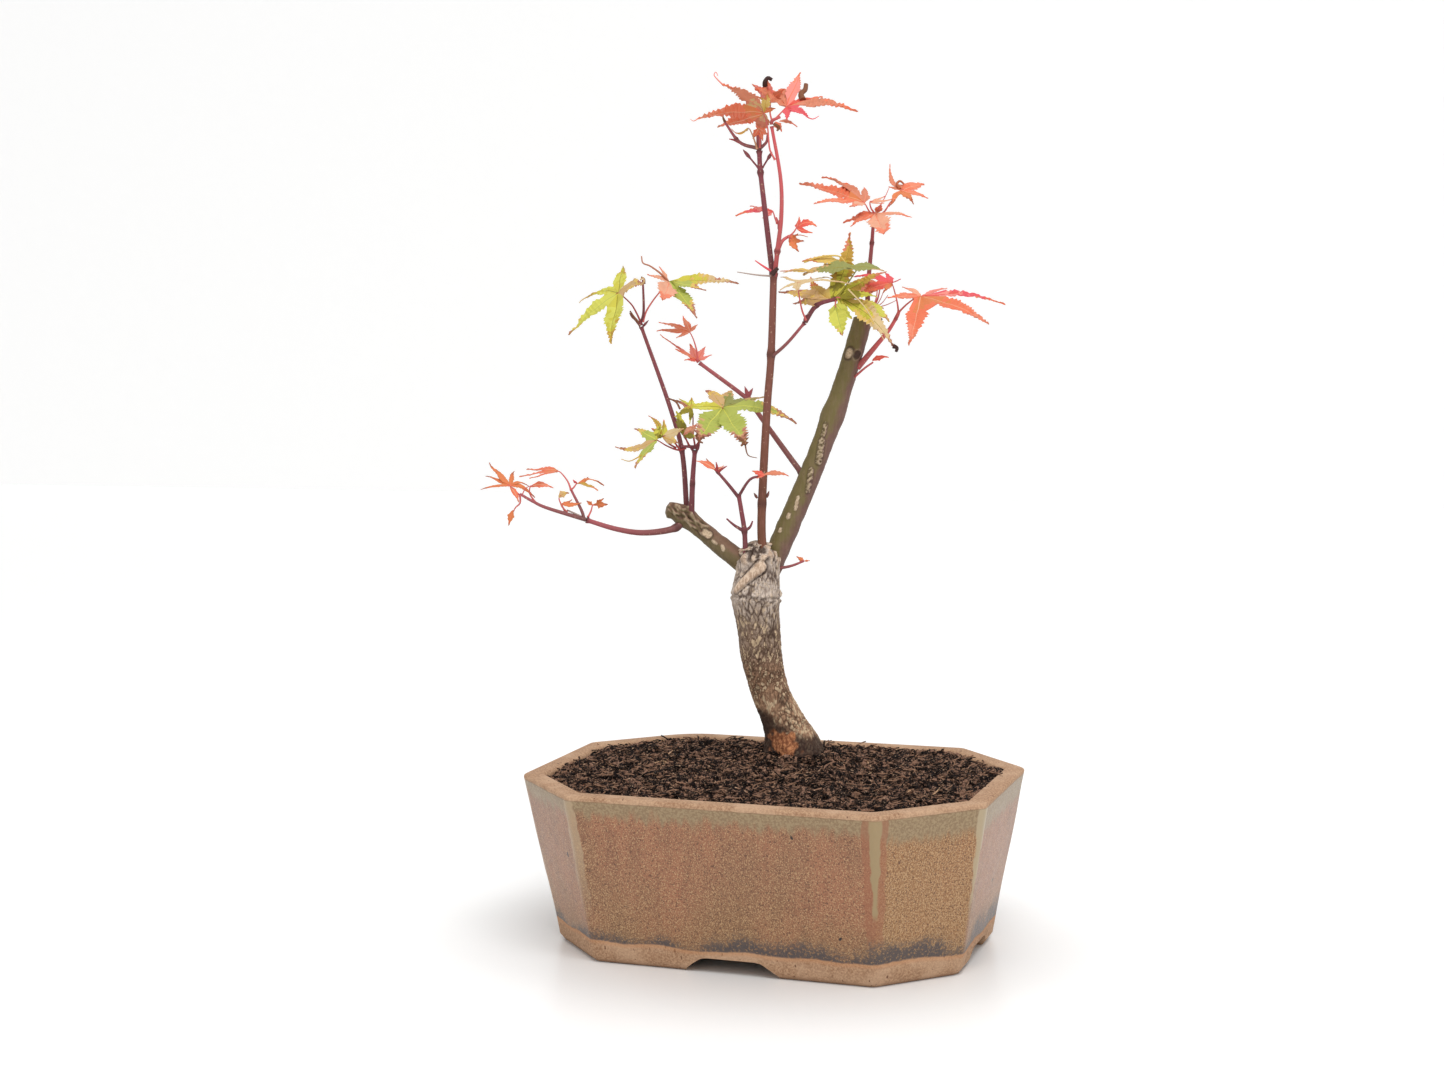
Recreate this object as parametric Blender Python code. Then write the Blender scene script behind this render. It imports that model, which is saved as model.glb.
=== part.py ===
"""A small maple tree trained in an eight-sided stoneware pot.

The pot stands on its foot ring at z = 0, with its long side along X and its front
towards -Y. The tree stands in its own frame, turned about Z at the planting point:
x runs across the tree's front, y away from it and z up. Sizes are in millimetres
and become metres where a mesh is made.
"""

import math
import random
from dataclasses import dataclass, field

import bmesh
import bpy
from mathutils import Matrix, Vector
from mathutils.bvhtree import BVHTree

MM = 0.001
CLEAR = 0.3  # gap between neighbouring pieces
SEED = 20  # for the stalks' bows, the leaves' unevenness and the young leaves
MOST_SEEDS = 12  # tried for each mass

# The pot
POT_HEIGHT = 76.2
RIM_LENGTH = 210.0
RIM_WIDTH = 151.0
RIM_CHAMFER = 37.0
BASE_LENGTH = 183.5
BASE_WIDTH = 118.0
BASE_CHAMFER = 29.0
CORNER_RADIUS = 5.0
SOFT_CORNER_RADIUS = 30.0  # the corner at the back left, worn down by hand in the clay
CORNER_STEPS = 2
RIM_THICKNESS = 9.0
RIM_EASING = 1.2
WALL_THICKNESS = 8.0
FLOOR_TOP = 15.0
FOOT_RING = 12.0
FOOT_RECESS = 7.5
FOOT_TURN_IN = 1.6
FOOT_TURN_HEIGHT = 3.0
ARCH_HEIGHT = 6.8
FRONT_ARCH = (43.0, 25.0)  # width at the ground and at the top
SIDE_ARCH = (34.0, 20.0)
DRAIN_RADIUS = 7.0
DRAIN_PLACE = 45.0
DRAIN_SIDES = 16

# The soil
SOIL_EDGE_FRONT = 74.0
SOIL_EDGE_BACK = 71.5
SOIL_TOP = 79.7
SOIL_PAD_RADIUS = 17.0
SOIL_GAP = 0.8  # between the soil and the pot
SOIL_RINGS = 4

# Where the tree is planted, in the pot's frame
PLANT_X = -5.0
PLANT_Y = 22.0
PLANT_TURN = 20.0
TRUNK_FOOT = (7.0, 0.0)

# The whole part is moved along X, so that its origin is below the middle of its box
ORIGIN_SHIFT_X = 9.4

LOBE_LENGTH = (1.0, 0.95, 0.78, 0.45)  # by place from the middle lobe
LOBE_WIDTH = 0.18  # half width, by lobe length
LOBE_WIDEST = 0.46
SINUS_DEPTH = 0.37
LOBE_FOLD = 0.02  # how far a lobe sinks along its middle, by the leaf's span
LEAF_HEEL = 0.04  # how far the blade starts behind its stalk's end, by its span
LEAF_THICKNESS = 0.5
STALK_WIDTH = 0.9
YOUNG_SPAN = 7.0  # of a young leaf
YOUNG_FAN = 70.0  # degrees between young leaves on one tip
LIMB_STEPS = 2  # rings to each stretch of a limb
TWIG_SIDES = 6
STALK_SIDES = 5
NODE_REACH = 1.0  # how far along a limb a node swells it, by its diameter


@dataclass
class Leaf:
    """One palmate leaf: its stalk's end, its middle lobe's direction and its size."""

    at: tuple
    heading: float  # degrees round from across, 90 is away
    pitch: float
    roll: float
    span: float
    lobes: int = 5
    spread: float = 45.0  # degrees from lobe to lobe
    droop: float = 8.0  # degrees that a lobe has bent down by its tip
    length: dict = field(default_factory=dict)  # of single lobes, by place
    bend: dict = field(default_factory=dict)  # more droop of single lobes

    def axes(self):
        """The leaf's forward, left and upward directions."""
        heading, pitch, roll = (
            math.radians(a) for a in (self.heading, self.pitch, self.roll)
        )
        flat = Vector((math.cos(heading), math.sin(heading), 0.0))
        forward = flat * math.cos(pitch) + Vector((0.0, 0.0, math.sin(pitch)))
        level = Vector((-flat.y, flat.x, 0.0))
        left = level * math.cos(roll) + forward.cross(level) * math.sin(roll)
        return forward, left, forward.cross(left)

    def point(self, place, reach, turn=0.0, lift=0.0):
        """A point of the blade, at a reach along a lobe that bends in an arc."""
        forward, left, up = self.axes()
        angle = math.radians(place * self.spread) + turn
        curve = math.radians(self.droop + self.bend.get(place, 0.0)) / self.span
        bent = curve * reach
        if abs(bent) > 1e-4:
            ahead, down = math.sin(bent) / curve, (1.0 - math.cos(bent)) / curve
        else:
            ahead, down = reach, 0.0
        flat = forward * math.cos(angle) + left * math.sin(angle)
        return Vector(self.at) + flat * ahead + up * (lift - down)


@dataclass
class Path:
    """A tapering path: the points that it bends through and the diameters of its ends."""

    points: list
    base: float
    tip: float
    nodes: tuple = ()  # (share of the length, swelling) where buds have grown
    young: int = 0  # leaves that have just opened at its tip


@dataclass
class Limb:
    """A bough or shoot, cut back clear of the limbs that it is rooted in."""

    name: str
    path: Path
    sides: int = 6
    rooted_in: tuple = ()
    finish: str = "shoot"


@dataclass
class Mass:
    """Foliage that grows on from a limb's tip, or out of a limb's side."""

    name: str
    twigs: list
    leaves: list
    rooted_in: tuple = ()
    finish: str = "leaf_red"


# (x, y, z, diameter) of the trunk, from its flat cut to its rounded top
TRUNK_ROUTE = [
    (7, 0, 80.0, 25.5),
    (5.6, 0, 85.5, 23.0),
    (3.6, 0, 91.0, 20.2),
    (0.2, 0, 98.5, 18.2),
    (-3.2, 0, 106.5, 17.7),
    (-5.6, 0, 115.0, 18.3),
    (-7.6, 0, 125.0, 19.0),
    (-9.0, 0, 141.0, 20.2),
    (-9.9, 0, 152.0, 22.2),
    (-8.9, 0, 161.0, 19.6),
    (-9.0, 0, 168.0, 19.6),
    (-9.6, 0, 173.0, 14.0),
    (-10.0, 0, 175.5, 7.0),
]
TRUNK_SIDES = 16
FLARE_LOBES = 3
FLARE_DEPTH = 0.10
FLARE_HEIGHT = 16.0
FLARE_TURN = 40.0
TRUNK_LEVEL_HEIGHT = 22.0  # over which the rings tilt from level to square

LIMBS = [
    Limb(
        "bough_left",
        Path(
            [(-12, 1, 164), (-22, 2, 171.5), (-38.5, 7, 185), (-45, 8, 189.3), (-49, 8, 190.3)],
            base=9.6,
            tip=7.0,
            nodes=((0.83, 0.36),),
        ),
        sides=8,
        rooted_in=("trunk",),
        finish="bark",
    ),
    Limb(
        "bough_right",
        Path(
            [(-4, 3, 162), (9, 6, 191), (21.4, 7, 220.5), (32.2, 8, 250.5), (39.7, 8, 275)],
            base=10.6,
            tip=8.6,
            nodes=((0.63, 0.2),),
        ),
        sides=12,
        rooted_in=("trunk",),
        finish="bark",
    ),
    Limb(
        "leader",
        Path(
            [(-6, -3, 168), (-7, -3, 186), (-4.2, -2, 234), (-2, -2, 260), (-0.5, -1, 296)],
            base=4.0,
            tip=3.1,
            nodes=((0.0, 0.25), (0.72, 0.2), (1.0, 0.35)),
        ),
        sides=8,
        rooted_in=("trunk",),
    ),
    Limb(
        "leader_top",
        Path(
            [(-1.1, 0.3, 294.5), (-1.6, 1.1, 301), (-4, 2, 323), (-5.9, 3, 341), (-6.3, 3, 350)],
            base=2.6,
            tip=2.1,
            nodes=((0.83, 0.35), (1.0, 0.5)),
        ),
        rooted_in=("leader",),
    ),
    Limb(
        "red_shoot",
        Path(
            [(-0.1, -1.9, 294.5), (1.2, -3.2, 306), (3, -4, 321), (2.8, -4, 337.5), (-0.9, -4, 360)],
            base=2.2,
            tip=1.4,
            nodes=((0.17, 0.5), (1.0, 0.35)),
        ),
        rooted_in=("leader", "leader_top"),
    ),
    Limb(
        "shoot_tall",
        Path(
            [(-40.5, 9, 188), (-42.3, 9, 216), (-47.7, 10, 237), (-60.1, 12, 273)],
            base=2.8,
            tip=1.8,
            nodes=((0.0, 0.2), (0.34, 0.25), (1.0, 0.4)),
        ),
        rooted_in=("bough_left",),
    ),
    Limb(
        "shoot_short",
        Path(
            [(-38.5, 5, 187), (-37.7, 4, 204), (-36.5, 3, 217.5)],
            base=2.8,
            tip=2.0,
            nodes=((1.0, 0.4),),
        ),
        rooted_in=("bough_left",),
    ),
    Limb(
        "shoot_low",
        Path(
            [(-41, 6.5, 186), (-47, 4, 182), (-60, -2, 181), (-72, -7, 183.3), (-84.9, -11, 187.8)],
            base=3.2,
            tip=2.0,
            nodes=((1.0, 0.4),),
        ),
        rooted_in=("bough_left",),
    ),
    Limb(
        "shoot_back",
        Path(
            [(14, 7, 203), (4.5, 14, 216), (-7.6, 22, 233), (-12, 23, 239.3), (-34.2, 24, 256.3)],
            base=2.8,
            tip=1.7,
            nodes=((0.0, 0.2), (0.63, 0.4), (1.0, 0.3)),
        ),
        rooted_in=("bough_right",),
    ),
    Limb(
        "shoot_side",
        Path(
            [(-2.2, -2.5, 258.6), (5, -6.5, 265), (12.6, -10, 273.8)],
            base=2.1,
            tip=1.7,
            nodes=((0.0, 0.3), (1.0, 0.6)),
        ),
        rooted_in=("leader",),
    ),
    Limb(
        "shoot_right",
        Path(
            [(37, 6.5, 253.5), (45.3, 3, 263.6), (50.5, 1, 270), (53.8, -1, 275.5)],
            base=2.8,
            tip=1.5,
            nodes=((1.0, 0.3),),
        ),
        rooted_in=("bough_right",),
    ),
    Limb(
        "shoot_top_right",
        Path(
            [(40, 10.5, 272), (42, 14, 279), (42.5, 15, 290.5), (44.3, 15, 309.3), (45, 15, 318.4)],
            base=2.6,
            tip=1.5,
            nodes=((0.81, 0.35), (1.0, 0.3)),
        ),
        rooted_in=("bough_right",),
    ),
]

MASSES = [
    Mass(
        "top_leaves",
        twigs=[Path([(-0.9, -4, 360.8), (-0.6, -4, 362.5), (3, -4.2, 364)], 1.8, 1.2, young=2)],
        leaves=[
            Leaf((-5, -5, 366), 180, 5, 20, 29, 7, 46, 4, {1: 1.1}, {1: -20, 0: 15}),
            Leaf((-1, 4, 373), 200, 45, 15, 13, 5, 43, -12, {2: 1.1}),
            Leaf((6, -1, 369), 345, -15, 20, 30, 5, 46, -20, {0: 1.1, 1: 0.65, 2: 1.2}, {2: -20}),
        ],
    ),
    Mass(
        "top_twigs",
        twigs=[
            Path([(-6.3, 3, 350.5), (-6.5, 3, 357)], 2.6, 2.3),
            Path([(-6.6, 3, 351), (-15, 1, 353.7), (-21.6, -1, 362.5)], 1.8, 1.0),
            Path([(-6.2, 3, 350.8), (-3.2, 0, 353.5), (-2.6, -1, 356.5)], 1.6, 1.1),
        ],
        leaves=[
            Leaf((-11, -1, 359.5), 170, 10, 0, 8, 3, 35, 35),
            Leaf((-8, 1, 360.5), 250, -50, 0, 6, 3, 40),
        ],
        finish="leaf_gold",
    ),
    Mass(
        "leader_leaf",
        twigs=[Path([(1.9, -3.5, 315.5), (1.8, 0, 318), (1, 4, 320.5)], 1.3, 0.9)],
        leaves=[Leaf((0, 9, 322), 180, 5, -10, 17, 3, 45, 5, {1: 0.4})],
        rooted_in=("red_shoot",),
    ),
    Mass(
        "leader_side",
        twigs=[Path([(1.4, -3.2, 305.8), (3.4, -3.2, 310), (6.4, -2, 312.2)], 1.8, 1.3)],
        leaves=[
            Leaf((10, -3, 316), 35, 10, 30, 9, 3),
            Leaf((7, 0, 312), 350, -10, 40, 9, 3),
        ],
        rooted_in=("red_shoot",),
    ),
    Mass(
        "upper_right",
        twigs=[Path([(45.1, 15, 318.9), (45.4, 15, 320.6)], 1.9, 1.6, young=1)],
        leaves=[
            Leaf((41, 15, 327), 170, 15, -10, 30, 5, 40, 0, {-1: 1.1}),
            Leaf((46, 13, 321.8), 270, -10, 5, 21, 5, 47, 10, {}, {-1: -10, 0: 15}),
            Leaf((44, 12, 327.5), 10, 10, 0, 11, 3, 40, 5),
            Leaf((58, 19, 332), 355, -10, 35, 17, 5, 54, 0, {2: 1.3, 0: 0.75, -1: 0.75}, {2: -25}),
        ],
    ),
    Mass(
        "right",
        twigs=[Path([(54.2, -1.1, 276.4), (55, -1.3, 278.2)], 1.9, 1.5)],
        leaves=[
            Leaf((65, -4, 286), 310, -20, 5, 39, 5, 46, 5, {-1: 1.1, -2: 0.65, 2: 0.5}, {0: -15, 1: -15}),
            Leaf((52, -1, 291), 195, 10, -25, 17, 5, 44, 5),
        ],
    ),
    Mass(
        "pink_mid",
        twigs=[Path([(42.5, 7.8, 275), (43.4, 7.5, 277.5), (44.5, 7, 280)], 2.4, 2.1)],
        leaves=[
            Leaf((47, 4, 290), 185, 10, -25, 13, 3),
            Leaf((47, 23, 289), 150, 5, -20, 12, 3),
        ],
        rooted_in=("bough_right", "shoot_top_right"),
    ),
    Mass(
        "bough_sprig",
        twigs=[Path([(35, 6, 249), (40, 2, 253.5), (43.5, 0, 256)], 1.4, 0.9, young=1)],
        leaves=[],
        rooted_in=("bough_right",),
    ),
    Mass(
        "centre_right",
        twigs=[
            Path([(12.9, -10.1, 274.2), (18, -11.5, 281.4), (26.5, -12, 284.2)], 2.4, 1.8),
        ],
        leaves=[
            Leaf((26, -12, 285.5), 60, 50, 10, 29, 5, 46, 5, {0: 1.15}, {1: 35, 0: -25}),
            Leaf((28, -13, 283.5), 350, -15, 0, 33, 3, 30, 40, {1: 0.5, -1: 0.5}),
            Leaf((28, -6, 292), 225, 5, 0, 29, 5, 46, -20, {1: 1.15, 2: 1.1}),
            Leaf((9, -18, 291), 340, 5, 15, 22, 5, 64, 5, {0: 1.1, -2: 0.6}),
            Leaf((26, -15, 282), 300, -60, -5, 13, 3, 46, 15, {0: 1.15}),
            Leaf((40, -9, 282), 335, -30, -20, 12, 5, 49, 20),
        ],
        finish="leaf_green",
    ),
    Mass(
        "left_upper",
        twigs=[
            Path([(-60.3, 12, 273.5), (-60.6, 12, 275.2)], 2.4, 2.0),
            Path([(-60.4, 12, 274.4), (-58.9, 11.5, 280), (-59, 10, 294)], 1.6, 0.8),
        ],
        leaves=[
            Leaf((-70, 8, 288), 185, -35, -15, 31, 5, 56, 0, {-2: 1.1, 1: 1.1}, {1: 20, 2: -20}),
            Leaf((-47, 14, 293), 310, -25, -10, 28, 5, 42, 0, {1: 1.2, -2: 0.8, 2: 0.6}, {1: -35}),
        ],
        finish="leaf_green",
    ),
    Mass(
        "left_mid",
        twigs=[Path([(-36.4, 3, 218), (-36, 3.3, 220)], 2.5, 2.0)],
        leaves=[
            Leaf((-24, 10, 236), 345, -15, 30, 35, 7, 47, -8, {1: 0.65, 2: 0.5, -3: 1.25}),
            Leaf((-37, 14, 236), 180, 20, -40, 13, 5, 46, 0),
            Leaf((-50, 0, 226), 170, -5, -30, 25, 5, 32, 15, {-1: 0.8, 2: 1.2}),
            Leaf((-41, 2, 224), 285, 20, -65, 13, 3, 44, 10),
        ],
        finish="leaf_green",
    ),
    Mass(
        "left_low",
        twigs=[
            Path(
                [(-85.3, -11.1, 188), (-102, -13, 193.5), (-108.3, -14, 196.6), (-114, -14, 200)],
                base=2.4,
                tip=1.4,
            ),
            Path([(-86, -11.2, 188.2), (-87, -11, 192), (-91.5, -9.5, 201)], 1.6, 1.2),
        ],
        leaves=[
            Leaf((-119, -14, 204), 125, 45, 10, 14, 5, 47, 25),
            Leaf((-114, -14, 196), 180, -50, -10, 10, 3),
            Leaf((-107, -12, 200.5), 15, 15, 0, 8, 3),
            Leaf((-97, -8, 210), 175, 0, -5, 18, 3, 42, 8),
            Leaf((-89, -3, 203), 15, 5, 15, 12, 3),
            Leaf((-96, -12, 194.5), 15, 15, 0, 11, 3),
            Leaf((-81, -4, 194), 350, 5, 10, 9, 3),
        ],
        finish="leaf_orange",
    ),
    Mass(
        "back_mid",
        twigs=[Path([(-34.5, 24, 256.6), (-35.6, 24.3, 258.2)], 2.0, 1.6)],
        leaves=[
            Leaf((-38, 26, 270), 155, 25, -20, 15, 5, 42, 5),
            Leaf((-36.5, 25, 260), 185, 25, -20, 18, 5, 48, -5),
        ],
    ),
    Mass(
        "fork_twig",
        twigs=[
            Path(
                [(-14.5, -3, 165), (-14.6, -5, 180), (-16, -6, 190.5), (-17.2, -6, 198)],
                base=2.5,
                tip=1.9,
                nodes=((0.5, 0.25), (1.0, 0.2)),
            ),
            Path([(-17, -6, 196.5), (-22, -7, 203), (-27.4, -8, 209.4)], 1.7, 1.2, young=1),
            Path([(-17.3, -6, 197), (-12, -10, 205), (-6, -11, 206.5)], 1.5, 1.0, young=1),
            Path([(-14.9, -5, 181.5), (-19, -5, 184), (-22.7, -5, 187.2)], 1.8, 0.7),
            Path([(-14.9, -5, 181.5), (-12.3, -5, 183.2), (-11, -5, 186)], 1.7, 0.7),
        ],
        leaves=[],
        rooted_in=("trunk",),
    ),
    Mass(
        "trunk_sprig",
        twigs=[Path([(-3, 0, 163.5), (5.6, -1, 165), (12, -1, 167.3)], 1.6, 1.0, young=1)],
        leaves=[],
        rooted_in=("trunk", "bough_right"),
    ),
]

# Base colour, roughness and metallic value of each finish
FINISHES = {
    "stoneware": ((0.36, 0.20, 0.12), 0.55, 0.0),
    "soil": ((0.035, 0.022, 0.015), 0.95, 0.0),
    "bark": ((0.26, 0.21, 0.15), 0.85, 0.0),
    "shoot": ((0.17, 0.06, 0.06), 0.6, 0.0),
    "leaf_red": ((0.80, 0.22, 0.15), 0.6, 0.0),
    "leaf_orange": ((0.80, 0.28, 0.12), 0.6, 0.0),
    "leaf_gold": ((0.78, 0.42, 0.12), 0.6, 0.0),
    "leaf_green": ((0.48, 0.50, 0.12), 0.6, 0.0),
}


def clear_scene():
    """Remove whatever the file starts with."""
    for item in list(bpy.data.objects):
        bpy.data.objects.remove(item, do_unlink=True)


def make_finishes():
    """One Principled material for each finish."""
    made = {}
    for name, (colour, roughness, metallic) in FINISHES.items():
        material = bpy.data.materials.new(name)
        material.use_nodes = True
        shader = material.node_tree.nodes["Principled BSDF"]
        shader.inputs["Base Color"].default_value = (*colour, 1.0)
        shader.inputs["Roughness"].default_value = roughness
        shader.inputs["Metallic"].default_value = metallic
        made[name] = material
    return made


def mesh_object(name, points, faces):
    """An object from points in millimetres, with its faces turned outwards."""
    mesh = bpy.data.meshes.new(name)
    mesh.from_pydata([tuple(Vector(p) * MM) for p in points], [], faces)
    body = bmesh.new()
    body.from_mesh(mesh)
    bmesh.ops.recalc_face_normals(body, faces=body.faces)
    body.to_mesh(mesh)
    body.free()
    made = bpy.data.objects.new(name, mesh)
    bpy.context.scene.collection.objects.link(made)
    return made


def bake_modifiers(made):
    """Turn an object's modifiers into its own mesh."""
    graph = bpy.context.evaluated_depsgraph_get()
    mesh = bpy.data.meshes.new_from_object(made.evaluated_get(graph))
    made.modifiers.clear()
    made.data = mesh


def is_one_body(mesh):
    """Whether a mesh is closed, with two faces at each edge, and all of one piece."""
    body = bmesh.new()
    body.from_mesh(mesh)
    closed = all(len(edge.link_faces) == 2 for edge in body.edges)
    body.verts.ensure_lookup_table()
    reached = {body.verts[0]}
    waiting = [body.verts[0]]
    while waiting:
        vertex = waiting.pop()
        for edge in vertex.link_edges:
            other = edge.other_vert(vertex)
            if other not in reached:
                reached.add(other)
                waiting.append(other)
    whole = len(reached) == len(body.verts)
    body.free()
    return closed and whole


def fuse(made, others, solver):
    """Join closed pieces into one body by a union on a collection."""
    group = bpy.data.collections.new("fused")
    bpy.context.scene.collection.children.link(group)
    for other in others:
        group.objects.link(other)
    union = made.modifiers.new("fuse", "BOOLEAN")
    union.operation = "UNION"
    union.operand_type = "COLLECTION"
    union.collection = group
    union.solver = solver
    bake_modifiers(made)
    for other in others:
        bpy.data.objects.remove(other, do_unlink=True)
    bpy.data.collections.remove(group)


def cut_away(made, cutters):
    """Cut each cutter out of a piece, and remove the cutters."""
    for cutter in cutters:
        cut = made.modifiers.new("cut", "BOOLEAN")
        cut.operation = "DIFFERENCE"
        cut.object = cutter
        cut.solver = "EXACT"
    bake_modifiers(made)
    for cutter in cutters:
        bpy.data.objects.remove(cutter, do_unlink=True)


def smooth_shade(made, angle=35.0):
    """Round faces smooth, with the edges past an angle left sharp."""
    made.data.shade_smooth()
    made.data.set_sharp_from_angle(angle=math.radians(angle))


# The pot and its soil


def rounded_octagon(half_length, half_width, chamfer, softness=1.0):
    """The eight-sided outline, anticlockwise, with each corner an arc."""
    corners = []
    for sx, sy in ((1, -1), (1, 1), (-1, 1), (-1, -1)):
        long_side = Vector((sx * (half_length - chamfer), sy * half_width))
        short_side = Vector((sx * half_length, sy * (half_width - chamfer)))
        corners += [long_side, short_side] if sx * sy < 0 else [short_side, long_side]
    points = []
    for index, corner in enumerate(corners):
        before = (corners[index - 1] - corner).normalized()
        after = (corners[(index + 1) % 8] - corner).normalized()
        at_back_left = corner.x < 0 and corner.y > half_width - 0.01
        radius = (SOFT_CORNER_RADIUS if at_back_left else CORNER_RADIUS) * softness
        half_angle = before.angle(after) / 2
        reach = radius / math.tan(half_angle)
        start, end = corner + before * reach, corner + after * reach
        for step in range(CORNER_STEPS + 1):
            t = step / CORNER_STEPS
            points.append(start * (1 - t) ** 2 + corner * 2 * t * (1 - t) + end * t * t)
    return points


def wall_outline(height, inset):
    """The pot's outline at a height, drawn in from its outer face."""
    t = height / POT_HEIGHT
    length = BASE_LENGTH + (RIM_LENGTH - BASE_LENGTH) * t
    width = BASE_WIDTH + (RIM_WIDTH - BASE_WIDTH) * t
    chamfer = BASE_CHAMFER + (RIM_CHAMFER - BASE_CHAMFER) * t
    inset_chamfer = chamfer - (2 - math.sqrt(2)) * inset
    flat = rounded_octagon(length / 2 - inset, width / 2 - inset, inset_chamfer)
    return [(p.x, p.y, height) for p in flat]


def loft(name, rings):
    """A closed body through rings of equal count, capped at both ends."""
    count = len(rings[0])
    points = [p for ring in rings for p in ring]
    faces = []
    for level in range(len(rings) - 1):
        for i in range(count):
            j = (i + 1) % count
            low, high = level * count, (level + 1) * count
            faces.append((low + i, low + j, high + j, high + i))
    faces.append(tuple(range(count))[::-1])
    last = (len(rings) - 1) * count
    faces.append(tuple(range(last, last + count)))
    return mesh_object(name, points, faces)


def arch_cutter(widths, length, along_x):
    """The tapered bar that leaves an arch in the foot ring at both its ends."""
    low, high = widths[0] / 2, widths[1] / 2
    drop = 1.0
    spread = (low - high) / ARCH_HEIGHT * drop
    section = [
        (-low - spread, -drop),
        (low + spread, -drop),
        (high, ARCH_HEIGHT),
        (-high, ARCH_HEIGHT),
    ]
    ends = []
    for end in (-length / 2, length / 2):
        ends.append([(end, a, z) if along_x else (a, end, z) for a, z in section])
    return loft("arch_cutter", ends)


def drain_cutter(x):
    """A round hole through the pot's floor."""
    rings = []
    for height in (-1.0, FLOOR_TOP + 1.0):
        ring = []
        for step in range(DRAIN_SIDES):
            turn = 2 * math.pi * step / DRAIN_SIDES
            ring.append((x + DRAIN_RADIUS * math.cos(turn), DRAIN_RADIUS * math.sin(turn), height))
        rings.append(ring)
    return loft("drain_cutter", rings)


def make_pot():
    """The pot: tapered walls, an eased flat rim and a foot ring with four arches."""
    rings = [
        wall_outline(FOOT_RECESS, FOOT_RING + 1.0),
        wall_outline(0.0, FOOT_RING),
        wall_outline(0.0, FOOT_TURN_IN),
        wall_outline(FOOT_TURN_HEIGHT, 0.0),
        wall_outline(POT_HEIGHT - RIM_EASING, 0.0),
        wall_outline(POT_HEIGHT, RIM_EASING),
        wall_outline(POT_HEIGHT, RIM_THICKNESS - RIM_EASING),
        wall_outline(POT_HEIGHT - RIM_EASING, RIM_THICKNESS),
        wall_outline(FLOOR_TOP, WALL_THICKNESS),
    ]
    pot = loft("pot", rings)
    cutters = [
        arch_cutter(FRONT_ARCH, RIM_WIDTH, along_x=False),
        arch_cutter(SIDE_ARCH, RIM_LENGTH, along_x=True),
        drain_cutter(-DRAIN_PLACE),
        drain_cutter(DRAIN_PLACE),
    ]
    cut_away(pot, cutters)
    smooth_shade(pot)
    return pot


def tree_frame():
    """The tree's frame in the pot's, in millimetres."""
    turn = Matrix.Rotation(math.radians(PLANT_TURN), 4, "Z")
    return Matrix.Translation((PLANT_X, PLANT_Y, 0.0)) @ turn


def make_soil():
    """The soil: clear of the pot's inside, mounded up to a flat pad for the trunk."""
    inset = RIM_THICKNESS + SOIL_GAP
    pad = tree_frame() @ Vector((*TRUNK_FOOT, 0.0))
    edge = []
    for number, (_, y, _) in enumerate(wall_outline(SOIL_EDGE_FRONT, inset)):
        back = (y / (RIM_WIDTH / 2) + 1) / 2
        height = SOIL_EDGE_FRONT + (SOIL_EDGE_BACK - SOIL_EDGE_FRONT) * back
        edge.append(wall_outline(height, inset)[number])
    rings = [wall_outline(FLOOR_TOP + CLEAR, WALL_THICKNESS + SOIL_GAP)]
    for step in range(SOIL_RINGS + 1):
        t = step / SOIL_RINGS
        rise = 0.5 - 0.5 * math.cos(math.pi * t)
        ring = []
        for x, y, low in edge:
            away = Vector((x - pad.x, y - pad.y))
            place = away.lerp(away.normalized() * SOIL_PAD_RADIUS, t)
            height = low + (SOIL_TOP - low) * rise
            ring.append((pad.x + place.x, pad.y + place.y, height))
        rings.append(ring)
    soil = loft("soil", rings)
    smooth_shade(soil)
    return soil


# The limbs


def smooth_line(points, steps):
    """Points along a smooth curve through others, with this many to each stretch."""
    knots = [Vector(p) for p in points]
    knots = [knots[0] * 2 - knots[1], *knots, knots[-1] * 2 - knots[-2]]
    line = []
    for i in range(1, len(knots) - 2):
        p0, p1, p2, p3 = knots[i - 1 : i + 3]
        for step in range(steps):
            t = step / steps
            linear = (p2 - p0) * t
            square = (p0 * 2 - p1 * 5 + p2 * 4 - p3) * t * t
            cube = (p1 * 3 - p0 - p2 * 3 + p3) * t**3
            line.append((p1 * 2 + linear + square + cube) * 0.5)
    line.append(knots[-2])
    return line


def point_along(line, share):
    """The point at a share of a line's length."""
    lengths = [(b - a).length for a, b in zip(line, line[1:])]
    left = share * sum(lengths)
    for start, end, length in zip(line, line[1:], lengths):
        if left <= length:
            return start.lerp(end, left / length)
        left -= length
    return line[-1]


def stations(path, steps):
    """The (x, y, z, diameter) stations of a path, with one at each node's middle and ends."""
    line = smooth_line(path.points, 6)
    length = sum((b - a).length for a, b in zip(line, line[1:]))
    count = (len(path.points) - 1) * steps
    node_share = NODE_REACH * (path.base + path.tip) / 2 / length
    node_shares = [node + side * node_share for node, _ in path.nodes for side in (-1, 0, 1)]
    shares = [share for share in node_shares if 0.0 <= share <= 1.0]
    for step in range(count + 1):
        share = step / count
        ends = step in (0, count) and share not in shares
        if ends or all(abs(share - other) > node_share / 2 for other in shares):
            shares.append(share)
    spots = []
    for share in sorted(shares):
        swell = 1.0
        for node, amount in path.nodes:
            swell += amount * max(0.0, 1.0 - abs(share - node) / node_share)
        width = (path.base + (path.tip - path.base) * share) * swell
        spots.append((*point_along(line, share), width))
    return spots


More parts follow.
